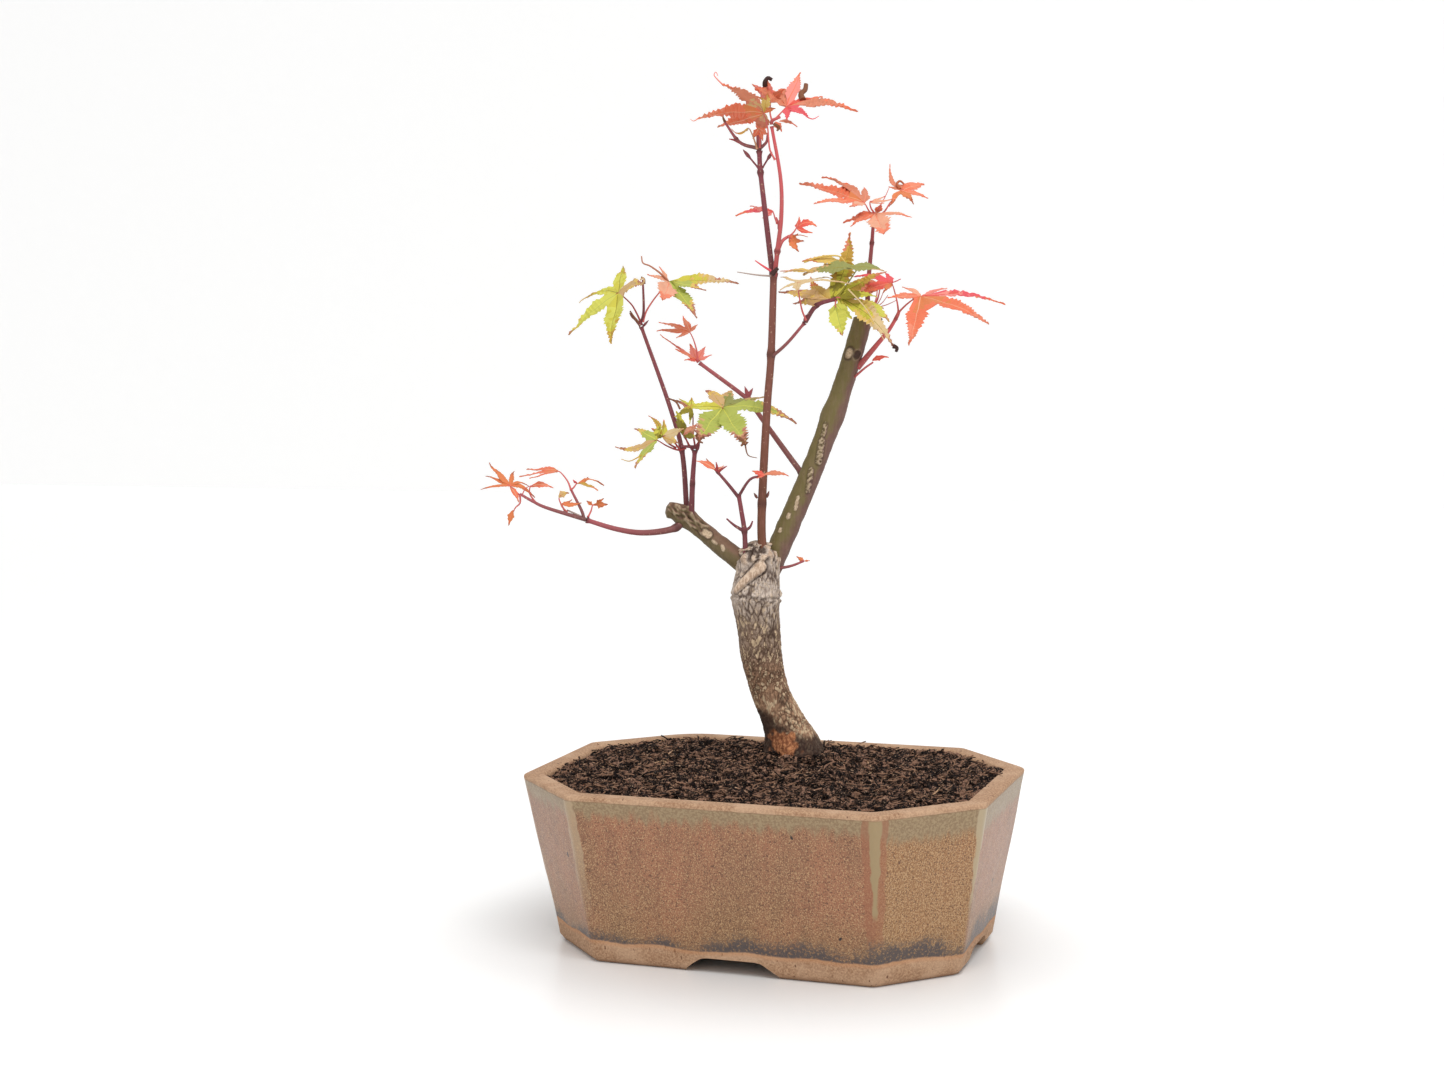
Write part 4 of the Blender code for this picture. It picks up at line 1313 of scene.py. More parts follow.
    def scatter(self, name: str) -> tuple[Rule, Value]:
        """The start of a rule that strews bits over the peat's top.

        Args:
            name: The rule's name.

        Returns:
            The rule and its points.
        """
        kinds = {"Density": "NodeSocketFloat", "Smallest": "NodeSocketFloat"}
        kinds |= {"Largest": "NodeSocketFloat", "Seed": "NodeSocketInt"}
        rule = Rule(name, kinds)
        graph = rule.graph
        normal = graph.node("GeometryNodeInputNormal")
        up = normal.parts()[2]
        settings = {"data_type": "FLOAT", "operation": "GREATER_THAN"}
        top = graph.node("FunctionNodeCompare", settings, {0: up, 1: 0.35})
        inputs = {"Mesh": rule.read("Geometry"), "Selection": top, "Density": rule.read("Density")}
        inputs["Seed"] = rule.read("Seed")
        spread = {"distribute_method": "RANDOM"}
        return rule, graph.node("GeometryNodeDistributePointsOnFaces", spread, inputs)

    def strew(self, rule: Rule, points: Value, bit: Value, tilt: float) -> None:
        """Set a bit on each point, turned and sized at random.

        Args:
            rule: The rule.
            points: Its points.
            bit: The bit.
            tilt: How far a bit may tilt, in radians.
        """
        graph = rule.graph
        vector = {"data_type": "FLOAT_VECTOR"}
        turns = {0: (-tilt, -tilt, 0.0), 1: (tilt, tilt, 6.283), "Seed": rule.read("Seed")}
        turn = graph.node("FunctionNodeRandomValue", vector, turns)
        sizes = {2: rule.read("Smallest"), 3: rule.read("Largest"), "Seed": rule.read("Seed")}
        size = graph.node("FunctionNodeRandomValue", {"data_type": "FLOAT"}, sizes, 1)
        shapes = graph.node("FunctionNodeRandomValue", vector, {0: (0.6, 0.5, 0.4), 1: (1.2, 1.0, 0.9)})
        scale = graph.vector("SCALE", shapes)
        graph.feed(scale.socket.node.inputs["Scale"], size)
        inputs = {"Points": points, "Instance": bit, "Rotation": turn, "Scale": scale}
        rule.finish(graph.node("GeometryNodeInstanceOnPoints", None, inputs))

    def crumb_rule(self) -> Rule:
        """Crumbs of peat: uneven lumps of a few faces.

        Returns:
            The rule.
        """
        rule, points = self.scatter("crumbs")
        graph = rule.graph
        ball = graph.node("GeometryNodeMeshIcoSphere", None, {"Radius": 0.75 * MM, "Subdivisions": 1})
        self.strew(rule, points, ball, 1.5)
        return rule

    def fibre_rule(self) -> Rule:
        """Bent fibres that lie on the peat.

        Returns:
            The rule.
        """
        rule, points = self.scatter("fibres")
        graph = rule.graph
        bow = {
            "Resolution": 4,
            "Start": (-2.2 * MM, 0.0, 0.0),
            "Middle": (0.3 * MM, 1.6 * MM, 0.9 * MM),
            "End": (2.3 * MM, -0.4 * MM, 0.1 * MM),
        }
        curve = graph.node("GeometryNodeCurveQuadraticBezier", None, bow)
        sizes = {"Resolution": 3, "Radius": 0.2 * MM}
        section = graph.node("GeometryNodeCurvePrimitiveCircle", None, sizes)
        inputs = {"Curve": curve, "Profile Curve": section, "Fill Caps": True}
        self.strew(rule, points, graph.node("GeometryNodeCurveToMesh", None, inputs), 0.5)
        return rule


class MarkKind(Enum):
    """The marks on bark."""

    LENTICEL = "lenticel"
    CUT = "cut"
    KNOT = "knot"
    SCAR = "scar"
    ROUGH = "rough"


@dataclass
class Mark:
    """A mark on bark: its ends, as places in the photograph with depth, and its half width."""

    kind: MarkKind
    start: Sequence[float]
    end: Sequence[float]
    wide: float

    def __post_init__(self) -> None:
        """Turn the ends into places on the tree."""
        self.start, self.end = SIGHT.point(*self.start), SIGHT.point(*self.end)

    def reading(self, point: Vector) -> tuple[float, float, float]:
        """What the mark does to a point of the bark.

        Args:
            point: The point.

        Returns:
            How far it stands out, and how pale and how dark it is.
        """
        start, end = self.start, self.end
        if (point - (start + end) / 2).length > (end - start).length / 2 + self.wide * 3:
            return 0.0, 0.0, 0.0
        along = end - start
        share = max(0.0, min(1.0, (point - start).dot(along) / max(1e-6, along.length_squared)))
        off = (point - start - along * share).length / self.wide
        inside = 1.0 - ease(off, 0.75, 1.0)
        border = max(0.0, 1.0 - abs(off - 1.05) / 0.3)
        rough = noise.noise(point * 1.3)
        hollow = inside * ease(rough, 0.0, -0.4) * 0.5
        if self.kind is MarkKind.LENTICEL:
            return 0.35 * inside, inside * 0.9, border * 0.4
        if self.kind is MarkKind.CUT:
            return -0.3 * inside + 0.6 * border, inside, border * 0.9
        if self.kind is MarkKind.KNOT:
            return 0.3 * inside + rough * 0.5 * inside, border * 0.3, inside * 0.9
        if self.kind is MarkKind.SCAR:
            ridge = 0.9 * inside * (0.7 + rough)
            return ridge, inside * ease(rough, -0.3, 0.3) * 0.75, border * 0.7 + hollow
        ridge = noise.noise(Vector((point.x + point.z, point.y, (point.z - point.x) * 0.35)) * 0.7)
        pale, dark = ease(ridge, 0.0, 0.35) * 0.5, ease(ridge, 0.0, -0.4) * 0.5
        return inside * ridge * 1.6, inside * pale, inside * dark


def ring_of(
    centre: Vector,
    direction: Vector,
    side: Vector,
    radius: float,
    sides: int,
) -> tuple[list[tuple[Vector, Vector]], Vector]:
    """A ring square to a direction.

    Args:
        centre: The ring's middle.
        direction: The way that it faces.
        side: The last ring's side, which this one's is turned least from.
        radius: The ring's radius.
        sides: How many points it has.

    Returns:
        Each point with its outward direction, and the ring's own side.
    """
    side = (side - direction * side.dot(direction)).normalized()
    across = direction.cross(side)
    spots = []
    for step in range(sides):
        turn = 2 * math.pi * step / sides
        outward = side * math.cos(turn) + across * math.sin(turn)
        spots.append((centre + outward * radius, outward))
    return spots, side


@dataclass
class BarkedLimb:
    """A limb whose bark stands in relief."""

    name: str
    node: str
    stations: list[Station]
    sides: int
    marks: list[Mark]
    finish: Finish
    end_dome: float = 0.35  # how far the cut end bulges, by its radius

    def relief(self, point: Vector, outward: Vector) -> tuple[float, dict[str, float]]:
        """How far the bark stands out at a point, and how it is marked.

        Args:
            point: The point on the smooth limb.
            outward: The direction out of the limb there; not used here.

        Returns:
            The height and the values crack, bare, pale and dark.
        """
        height = noise.noise(point * 0.22) * 0.3 + noise.noise(point * 0.8) * 0.1
        pale = dark = 0.0
        for mark in self.marks:
            raised, paler, darker = mark.reading(point)
            height += raised
            pale, dark = max(pale, paler), max(dark, darker)
        return height, {"crack": 0.0, "bare": 0.0, "pale": pale, "dark": dark}

    def build(self) -> None:
        """Make the limb."""
        shape = Shape()
        values: dict[str, list[float]] = {"crack": [], "bare": [], "pale": [], "dark": []}
        rings = []
        centres = [s.centre for s in self.stations]
        side = Vector((0.0, 1.0, 0.0))
        for i, station in enumerate(self.stations):
            ahead = centres[min(i + 1, len(centres) - 1)] - centres[max(i - 1, 0)]
            ring, side = ring_of(station.centre, ahead.normalized(), side, station.width / 2, self.sides)
            points = []
            for point, outward in ring:
                height, marks = self.relief(point, outward)
                points.append(point + outward * height)
                for key, value in marks.items():
                    values[key].append(value)
            rings.append(points)
        direction = (centres[-1] - centres[-2]).normalized()
        radius = self.stations[-1].width / 2
        last = rings[-1]
        for step in range(1, 5):
            share = step / 5
            lift = radius * self.end_dome * math.sin(share * math.pi / 2)
            ring = []
            for point in last:
                place = centres[-1].lerp(point, 1.0 - share) + direction * lift
                place += direction * noise.noise(place * 0.9) * 0.4
                ring.append(place)
                for key in values:
                    level = {"dark": 0.55, "pale": 0.25}.get(key, 0.0)
                    values[key].append(level + 0.4 * noise.noise(place * 1.4) if level else 0.0)
            rings.append(ring)
        shape.loft(rings)
        shape.values = values
        piece = shape.make(self.name, TREE_PLACE, 180.0)
        settle(piece, Slot.BARK, [self.node], self.finish)


@dataclass
class Trunk(BarkedLimb):
    """The trunk: net-like fissures, a ring scar, a long callus and a lumpy knuckle."""

    callus: tuple = ((-8.0, -9.0, 165.6), (-20.8, -7.0, 153.4))
    callus_wide: tuple = (2.9, 1.4)
    ring_height: float = 151.6
    ring_tilt: float = 0.075
    nubs: tuple = ((1.6, -1.0, 153.2, 1.1), (1.2, -2.0, 149.2, 0.7))
    flare_lobes: int = 3
    flare_turn: float = 40.0
    bare_patch: tuple = (2.0, -12.0, 84.0)

    def relief(self, point: Vector, outward: Vector) -> tuple[float, dict[str, float]]:
        """The trunk's relief and marks.

        Args:
            point: The point on the smooth trunk.
            outward: The direction out of the trunk there.

        Returns:
            The height and the values crack, bare, pale and dark.
        """
        z = point.z
        warp = noise.noise_vector(point * 0.16) * 1.6
        squeeze = 0.32 + 0.3 * ease(z, 128, 104)
        net = Vector((point.x + warp.x, point.y + warp.y, (z + warp.z * 2) * squeeze))
        near = noise.voronoi(net * 0.62)[0]
        # The fissure mask, which the bark's colour also uses as painted shade.
        crack = 1.0 - ease(near[1] - near[0], 0.03, 0.24)
        crack *= 0.35 + 0.65 * ease(noise.noise(point * 0.12 + Vector((5, 0, 0))), -0.35, 0.25)
        height = 0.3 * noise.noise(point * 0.1) + 0.25 * noise.noise(point * 0.5)
        height += 0.12 * noise.noise(Vector((point.x, point.y, z * 0.3)) * 1.6) - 0.42 * crack
        flare = ease(z, 96.0, 78.0)
        turn = math.atan2(outward.y, outward.x) - math.radians(self.flare_turn)
        height += flare * (1.0 + 1.2 * math.cos(self.flare_lobes * turn))
        pale = dark = 0.0
        groove = z - self.ring_height + self.ring_tilt * (point.x + 10) + noise.noise(point * 0.2) * 0.7
        height += 0.55 * math.exp(-((abs(groove) - 1.2) ** 2)) - 0.4 * math.exp(-((groove / 0.5) ** 2))
        dark = max(dark, (0.35 + noise.noise(point * 0.3) * 0.5) * math.exp(-((groove / 0.45) ** 2)))
        for x, y, up, size in self.nubs:
            off = (point - Vector((x, y, up))).length / size
            height += size * 1.1 * math.exp(-off * off)
            dark = max(dark, 0.4 * math.exp(-off * off))
        lumpy = ease(z, 164.5, 171.0)
        if lumpy:
            lump = noise.noise(point * 0.35 + Vector((3, 1, 0)))
            height += lumpy * (lump * 3.2 + 0.4)
            pale = max(pale, lumpy * ease(lump, 0.0, 0.25) * 0.85)
            dark = max(dark, lumpy * ease(lump, -0.02, -0.25) * 0.85)
        start, end = Vector(self.callus[0]), Vector(self.callus[1])
        along = end - start
        share = max(0.0, min(1.0, (point - start).dot(along) / along.length_squared))
        wide = self.callus_wide[0] + (self.callus_wide[1] - self.callus_wide[0]) * share
        off = (point - start - along * share).length / wide
        if off < 1.8:
            inside = 1.0 - ease(off, 0.7, 1.05)
            border = math.exp(-(((off - 1.15) / 0.14) ** 2))
            crack *= 1.0 - inside
            height = height * (1 - inside) + inside * (1.0 + 0.5 * (1 - off * off)) - 0.6 * border
            pale = pale * (1 - inside) + inside * 0.95
            dark = dark * (1 - inside) + border * 0.85
        spot = Vector(self.bare_patch)
        off = max(abs(point.x - spot.x - (84 - z) * 0.15) / 6.6, (z - spot.z) / 7.0, point.y / 3.0 + 2.0)
        bare = 1.0 - ease(off + noise.noise(point * 0.35) * 0.5, 0.8, 1.0)
        return height, {"crack": crack, "bare": bare, "pale": pale, "dark": dark}


@dataclass(frozen=True)
class Sight:
    """The photograph's viewpoint, from which places measured in it become places on the tree."""

    place: tuple[float, float, float] = (0.31219, -0.90177, 0.27244)
    yaw: float = -0.34688
    down: float = 0.09946
    roll: float = -0.01132
    focal: float = 2174.0  # in the photograph's pixels
    size: tuple[int, int] = (1445, 1088)

    def axes(self) -> tuple[Vector, Vector, Vector]:
        """The picture's right, up and forward directions.

        Returns:
            The three directions, in the part's frame.
        """
        sy, cy = math.sin(self.yaw), math.cos(self.yaw)
        sp, cp = math.sin(self.down), math.cos(self.down)
        forward = Vector((sy * cp, cy * cp, -sp))
        level = Vector((cy, -sy, 0.0))
        up = level.cross(forward)
        cr, sr = math.cos(self.roll), math.sin(self.roll)
        return level * cr + up * sr, up * cr - level * sr, forward

    def point(self, x: float, y: float, depth: float) -> Vector:
        """A place on the tree, seen at a place in the photograph and this far behind the trunk."""
        start, ray = self.ray(x, y, TREE_PLACE)
        return start + ray * ((depth - start.y) / ray.y)

    def on_level(self, x: float, y: float, height: float) -> Vector:
        """A place on a level plane, in the pot's frame."""
        start, ray = self.ray(x, y, POT_PLACE)
        return start + ray * ((height - start.z) / ray.z)

    def ray(self, x: float, y: float, place: Matrix) -> tuple[Vector, Vector]:
        """The line of sight through a place in the photograph.

        Args:
            x: How far right it is.
            y: How far down it is.
            place: The frame that it is wanted in.

        Returns:
            Where the line starts, and its direction.
        """
        right, above, forward = self.axes()
        width, height = self.size
        ray = forward + right * ((x - width / 2) / self.focal) + above * ((height / 2 - y) / self.focal)
        inverse = place.inverted()
        return inverse @ Vector(self.place), inverse.to_3x3() @ ray


SIGHT = Sight()


@dataclass
class Lobe:
    """A leaf's lobe: where its tip shows in the photograph, its depth and half its width."""

    x: float
    y: float
    depth: float
    wide: float = 0.15  # by its length
    palette: Palette | None = None
    bow: tuple = ()  # the place in the photograph that its rib bends towards
    blunt: float = 0.0  # from 0, drawn out to a point, to 1, cut short
    tilt: float = 0.0  # degrees that it is turned about its rib


@dataclass
class Leaf:
    """A leaf: its stalk's end in the photograph, with its depth, and its lobes in order."""

    at: tuple[float, float, float]
    lobes: list[Lobe]
    palette: Palette = Palette.SALMON
    stalk: tuple = ()  # places that the stalk runs through, from its start
    tint: Tint = Tint.STALK_PINK
    width: float = 0.75
    notch: float = 0.3
    face: tuple[float, float, float] = (0.1, -0.75, 0.65)  # the way that a single lobe faces


@dataclass
class Rib:
    """A lobe's middle rib, bent in one arc, and the sheet's direction along it."""

    start: Vector
    control: Vector
    end: Vector
    normal: Vector = field(default_factory=Vector)

    def place(self, share: float) -> Vector:
        """The rib's place at a share of its way."""
        rest = 1 - share
        return self.start * rest * rest + self.control * 2 * share * rest + self.end * share * share

    def heading(self, share: float) -> Vector:
        """The rib's direction at a share of its way."""
        ahead = (self.control - self.start) * (1 - share) + (self.end - self.control) * share
        return ahead.normalized()

    def spot(self, share: float, off: float, lift: float) -> Vector:
        """A point at a share of the rib's way, off to the next lobe's side and lifted off the sheet."""
        across = self.normal.cross(self.heading(share)).normalized()
        return self.place(share) + across * off + self.heading(share).cross(across) * lift

    def length(self) -> float:
        """How long it is."""
        return sum((self.place((i + 1) / 6) - self.place(i / 6)).length for i in range(6))

    def seen(self) -> float:
        """How long it looks from the front, by which widths are measured."""
        span = self.end - self.start
        return max(math.hypot(span.x, span.z), self.length() * 0.45)


@dataclass
class Blade:
    """The sheet of one leaf, with its lobes' teeth, ribs and folds."""

    leaf: Leaf
    chance: random.Random
    widest: float = 0.42
    fold: float = 0.12  # how far a rib is sunk, by the lobe's half width
    tooth: float = 0.15  # how far a tooth juts, by the lobe's half width
    tooth_spacing: float = 1.9
    base_rows: int = 4
    arch: float = 0.07  # how far a rib is arched where it isn't measured, by its length
    widest_angle: float = 100.0  # between lobes that the sheet joins
    thickness: float = 0.2
    ripple: float = 0.55  # how far the sheet's points stray
    narrow: float = 0.72  # a lobe's width at its notches, by its widest
    points: list[Vector] = field(default_factory=list)
    faces: list[tuple[tuple[int, ...], Tint]] = field(default_factory=list)
    ribs: list[Rib] = field(default_factory=list)

    def lay_ribs(self) -> None:
        """Place the ribs, and face each the way that its neighbours span."""
        start = SIGHT.point(*self.leaf.at)
        face = Vector(self.leaf.face)
        for lobe in self.leaf.lobes:
            end = SIGHT.point(lobe.x, lobe.y, lobe.depth)
            control = (start + end) / 2
            if lobe.bow:
                control = SIGHT.point(*lobe.bow, (self.leaf.at[2] + lobe.depth) / 2)
            self.ribs.append(Rib(start, control, end))
        spans = [a.heading(0.0).cross(b.heading(0.0)) for a, b in zip(self.ribs, self.ribs[1:])]
        whole = sum(spans, Vector()) if spans else face
        whole = whole.normalized() if whole.length > 0.15 else face.normalized()
        for i, (rib, lobe) in enumerate(zip(self.ribs, self.leaf.lobes)):
            near = sum(spans[max(0, i - 1) : i + 1], Vector())
            if near.dot(whole) < 0:
                near = Vector()
            turn = Matrix.Rotation(math.radians(lobe.tilt), 3, rib.heading(0.5))
            rib.normal = turn @ (whole + near * 0.7).normalized()
            if not lobe.bow:
                rib.control += rib.normal * (rib.length() * self.arch)

    def add(self, point: Vector) -> int:
        """Keep a point, rippled with the sheet, and return its number."""
        self.points.append(point + noise.noise_vector(point * 0.17) * self.ripple)
        return len(self.points) - 1

    def build(self) -> None:
        """Lay out the lobes round the stalk's end."""
        self.lay_ribs()
        centre = self.add(self.ribs[0].start)
        seams: list[list[int] | None] = [None]
        for first, second in zip(self.ribs, self.ribs[1:]):
            angle = first.heading(0.0).angle(second.heading(0.0))
            if math.degrees(angle) > self.widest_angle:
                seams.append(None)
                continue
            reach = min(first.length(), second.length()) * self.leaf.notch
            seam = []
            for row in range(1, self.base_rows + 1):
                out = reach * row / self.base_rows
                off = out * math.tan(angle / 2) * 0.8
                near = first.spot(out / first.length(), off, 0.0)
                far = second.spot(out / second.length(), -off, 0.0)
                seam.append(self.add((near + far) / 2))
            seams.append(seam)
        seams.append(None)
        for number in range(len(self.ribs)):
            self.lobe(number, centre, seams[number], seams[number + 1])

    def half_width(self, lobe: Lobe, share: float, start: float) -> float:
        """Half a lobe's width past its notches, by its length.

        Args:
            lobe: The lobe.
            share: The place along it.
            start: Where the notches are.

        Returns:
            Half the width.
        """
        if share < self.widest:
            return lobe.wide * (self.narrow + (1.0 - self.narrow) * ease(share, start, self.widest))
        left = (1.0 - share) / (1.0 - self.widest)
        return lobe.wide * left ** (1.2 - 0.75 * lobe.blunt)

    def lobe(self, number: int, centre: int, right: list[int] | None, left: list[int] | None) -> None:
        """Lay out one lobe.

        Args:
            number: Its number.
            centre: The stalk's end.
            right: The seam with the lobe before it, if there is one.
            left: The seam with the lobe after it.
        """
        lobe = self.leaf.lobes[number]
        length = self.ribs[number].length()
        seen = self.ribs[number].seen()
        start = self.leaf.notch * 0.93
        rows, shares = [], []
        for row in range(1, self.base_rows + 1):
            share = start * row / self.base_rows
            outer = seen * lobe.wide * self.narrow * (row / self.base_rows) ** 0.7
            rows.append(self.row(number, share, (outer, outer), right, left, row - 1))
            shares.append(share)
        teeth = max(3, min(14, round(length * (1 - start) / self.tooth_spacing)))
        for tooth in range(teeth):
            for part, jut in ((0.5, 1.0), (0.97, -0.35)):
                share = start + (1.0 - start) * (tooth + part) / teeth * 0.985
                tail = 0.35 + 0.65 * ease(1.0 - share, 0.0, 0.35) + lobe.blunt * 0.8 * ease(share, 0.6, 0.9)
                body = self.half_width(lobe, share, start) * seen
                reach = seen * lobe.wide * self.tooth * tail * jut
                sides = tuple(max(0.1, body + reach * self.chance.uniform(0.5, 1.5)) for _ in range(2))
                rows.append(self.row(number, share, sides))
                shares.append(share)
        tip = self.add(self.ribs[number].end)
        palette = (lobe.palette or self.leaf.palette).value
        self.strip([centre] * 6, rows[0], palette, 0.0)
        for i in range(len(rows) - 1):
            self.strip(rows[i], rows[i + 1], palette, shares[i])
        self.strip(rows[-1], [tip] * 6, palette, 1.0)

    def row(
        self,
        number: int,
        share: float,
        sides: tuple,
        right: list[int] | None = None,
        left: list[int] | None = None,
        seam_row: int = 0,
    ) -> list[int]:
        """One row of points across a lobe, from the side of the lobe before it.

        Args:
            number: The lobe's number.
            share: How far out the row is.
            sides: Half the width on both sides.
            right: The seam that gives the first edge.
            left: The seam that gives the last edge.
            seam_row: The row of the seams.

        Returns:
            The six points' numbers.
        """
        rib = self.ribs[number]
        half = self.leaf.lobes[number].wide * rib.seen()
        vein = min(0.17 * (1.0 - share) + 0.06, half * 0.3)
        sunk = -self.fold * half * ease(share, 0.0, 0.3)
        pleat = 0.07 * half * (1 if len(self.points) % 4 < 2 else -1)
        edge = 0.1 * half
        lift = (self.chance.uniform(-edge, edge), self.chance.uniform(-edge, edge))
        first = right[seam_row] if right else self.add(rib.spot(share, -sides[0], lift[0]))
        last = left[seam_row] if left else self.add(rib.spot(share, sides[1], lift[1]))
        middle = rib.spot(share, 0.0, sunk)
        raised = rib.normal * pleat
        inner_right = (self.points[first] + middle) / 2 + raised
        inner_left = (self.points[last] + middle) / 2 + raised
        return [
            first,
            self.add(inner_right),
            self.add(rib.spot(share, -vein, sunk)),
            self.add(rib.spot(share, vein, sunk)),
            self.add(inner_left),
            last,
        ]

    def strip(self, near: list[int], far: list[int], palette: tuple, share: float) -> None:
        """The faces between two rows, each in the colour of its zone.

        Args:
            near: The row nearer the stalk.
            far: The row further out.
            palette: The ribs' colour and the zones.
            share: How far out the near row is.
        """
        for column in range(5):
            a, b = near[column], near[column + 1]
            c, d = far[column + 1], far[column]
            corners = tuple(dict.fromkeys((a, b, c, d)))
            if len(corners) < 3:
                continue
            if column == 2 and share < 0.8:
                self.faces.append((corners, palette[0]))
                continue
            place = (self.points[corners[0]] + self.points[corners[2]]) / 2
            zone = share + (0.1 if column in (0, 4) else 0.0) + noise.noise(place * 0.4) * 0.3
            tint = next(tint for tint, upto in palette[1:] if zone < upto)
            self.faces.append((corners, tint))

    def normals(self) -> list[Vector]:
        """Which way the sheet faces.

        Returns:
            Its upward direction at each point.
        """
        normals = [Vector() for _ in self.points]
        for corners, _ in self.faces:
            a, b, c = (self.points[corner] for corner in corners[:3])
            facing = (b - a).cross(c - b)
            for corner in corners:
                normals[corner] += facing
        up = self.ribs[0].normal
        return [n.normalized() if n.length > 1e-9 else up for n in normals]

    def thicken(self, shapes: dict[Tint, Shape]) -> set[Tint]:
        """Add the leaf, with its thickness, to the shape of each of its colours.

        Args:
            shapes: The shapes by colour.

        Returns:
            The colours that it has.
        """
        normals = self.normals()
        tints = {tint for _, tint in self.faces}
        for tint in sorted(tints, key=lambda t: t.name):
            shape = shapes.setdefault(tint, Shape())
            own = [corners for corners, other in self.faces if other is tint]
            numbers = sorted({corner for corners in own for corner in corners})
            start = len(shape.points)
            count = len(numbers)
            local = {number: start + i for i, number in enumerate(numbers)}
            shape.points += [self.points[n] + normals[n] * self.thickness / 2 for n in numbers]
            shape.points += [self.points[n] - normals[n] * self.thickness / 2 for n in numbers]
            edges = {(a, b) for f in own for a, b in zip(f, f[1:] + f[:1])}
            for corners in own:
                shape.faces.append(tuple(local[c] for c in corners))
                shape.faces.append(tuple(local[c] + count for c in reversed(corners)))
            for a, b in sorted(edges):
                if (b, a) not in edges:
                    v, w = local[a], local[b]
                    shape.faces.append((w, v, v + count, w + count))
        return tints


@dataclass
class Thread:
    """A thin stalk, tendril or bud: places in the photograph with depth, and its widths."""

    points: list
    tint: Tint
    base: float = 0.5
    tip: float = 0.3

    def stations(self) -> list[Station]:
        """Where it runs."""
        points = [SIGHT.point(*point) for point in self.points]
        return Path(points, self.base, self.tip).stations(0.5)


@dataclass
class Mass:
    """Foliage that grows on from a limb's tip, or out of a limb's side."""

    name: str
    skin: str
    twigs: list[Path]
    leaves: list[Leaf]
    threads: list[Thread] = field(default_factory=list)


@dataclass
class Foliage:
    """All the masses, joined by colour: blades apart, stalks apart and twigs apart."""

    masses: list[Mass]
    blades: dict[Tint, Shape] = field(default_factory=dict)
    blade_nodes: dict[Tint, set[str]] = field(default_factory=dict)
    stalks: dict[Tint, Tubing] = field(default_factory=dict)
    twigs: dict[str, Tubing] = field(default_factory=dict)

    def grow(self) -> None:
        """Lay out every mass."""
        for mass in self.masses:
            chance = random.Random(SEED)
            for twig in mass.twigs:
                tubing = self.twigs.setdefault(mass.skin, Tubing("twigs_" + mass.skin, 10))
                tubing.follow(twig.stations(0.7), mass.name)
            for leaf in mass.leaves:
                self.add_leaf(leaf, mass, chance)
            for thread in mass.threads:
                self.stalk_tubing(thread.tint).follow(thread.stations(), mass.name)

    def stalk_tubing(self, tint: Tint) -> Tubing:
        """The tubing for stalks of a colour."""
        return self.stalks.setdefault(tint, Tubing("stalks_" + tint.name.lower(), 7))

    def add_leaf(self, leaf: Leaf, mass: Mass, chance: random.Random) -> None:
        """Lay out a leaf with its stalk.

        Args:
            leaf: The leaf.
            mass: The mass that it belongs to.
            chance: For its unevenness.
        """
        blade = Blade(leaf, chance)
        blade.build()
        for tint in blade.thicken(self.blades):
            self.blade_nodes.setdefault(tint, set()).add(mass.name)
        if not leaf.stalk:
            return
        under = blade.ribs[0].normal * -0.2
        points = [SIGHT.point(*place) for place in leaf.stalk]
        ahead = blade.ribs[0].start + under
        points += [ahead, ahead + blade.ribs[len(blade.ribs) // 2].heading(0.0) * 1.6]
        path = Path(points, leaf.width * 1.25, leaf.width * 0.6, ((0.0, 0.4),))
        self.stalk_tubing(leaf.tint).follow(path.stations(0.7), mass.name)

    def build(self, rule: Rule, skins: dict[str, Finish]) -> None:
        """Make the pieces.

        Args:
            rule: The geometry nodes that sweep tubes.
            skins: The twigs' finishes by name.
        """
        self.grow()
        for tint, shape in self.blades.items():
            piece = shape.make("leaves_" + tint.name.lower(), TREE_PLACE, 40.0)
            settle(piece, tint.slot(), self.blade_nodes[tint], tint.skin("leaf_"))
        for tint, tubing in self.stalks.items():
            settle(tubing.build(rule, tint.skin("stalk_")), tint.slot(), tubing.nodes)
        for skin, tubing in self.twigs.items():
            settle(tubing.build(rule, skins[skin]), Slot.SHOOT, tubing.nodes)


@dataclass
class Shoots:
    """The bare shoots, each a piece of its own with its nodes and buds."""

    shoots: dict[str, tuple[Path, str]]
    buds: dict[str, list[tuple]]

    def build(self, rule: Rule, skins: dict[str, Finish]) -> None:
        """Make the shoots.

        Args:
            rule: The geometry nodes that sweep tubes.
            skins: The shoots' finishes by name.
        """
        for name, (path, skin) in self.shoots.items():
            tubing = Tubing(name + "_wood", 14)
            tubing.follow(path.stations(0.8), name)
            for start, end, width in self.buds.get(name, []):
                tubing.follow(self.bud(Vector(start), Vector(end), width), name)
            settle(tubing.build(rule, skins[skin]), Slot.SHOOT, [name])

    @staticmethod
    def bud(start: Vector, end: Vector, width: float) -> list[Station]:
        """A pointed bud.

        Args:
            start: Where it sits.
            end: Its tip.
            width: Its width at its fullest.

        Returns:
            The stations of its outline.
        """
        outline = (0.0, 0.6), (0.2, 0.9), (0.4, 1.0), (0.65, 0.72), (0.85, 0.36), (1.0, 0.08)
        if (end - start).length > width * 4.5:
            outline = (0.0, 0.7), (0.1, 0.5), (0.5, 0.48), (0.68, 1.0), (0.82, 0.8), (0.93, 0.4), (1.0, 0.08)
        return [Station(start.lerp(end, share), width * full, 1.0, 0.3) for share, full in outline]


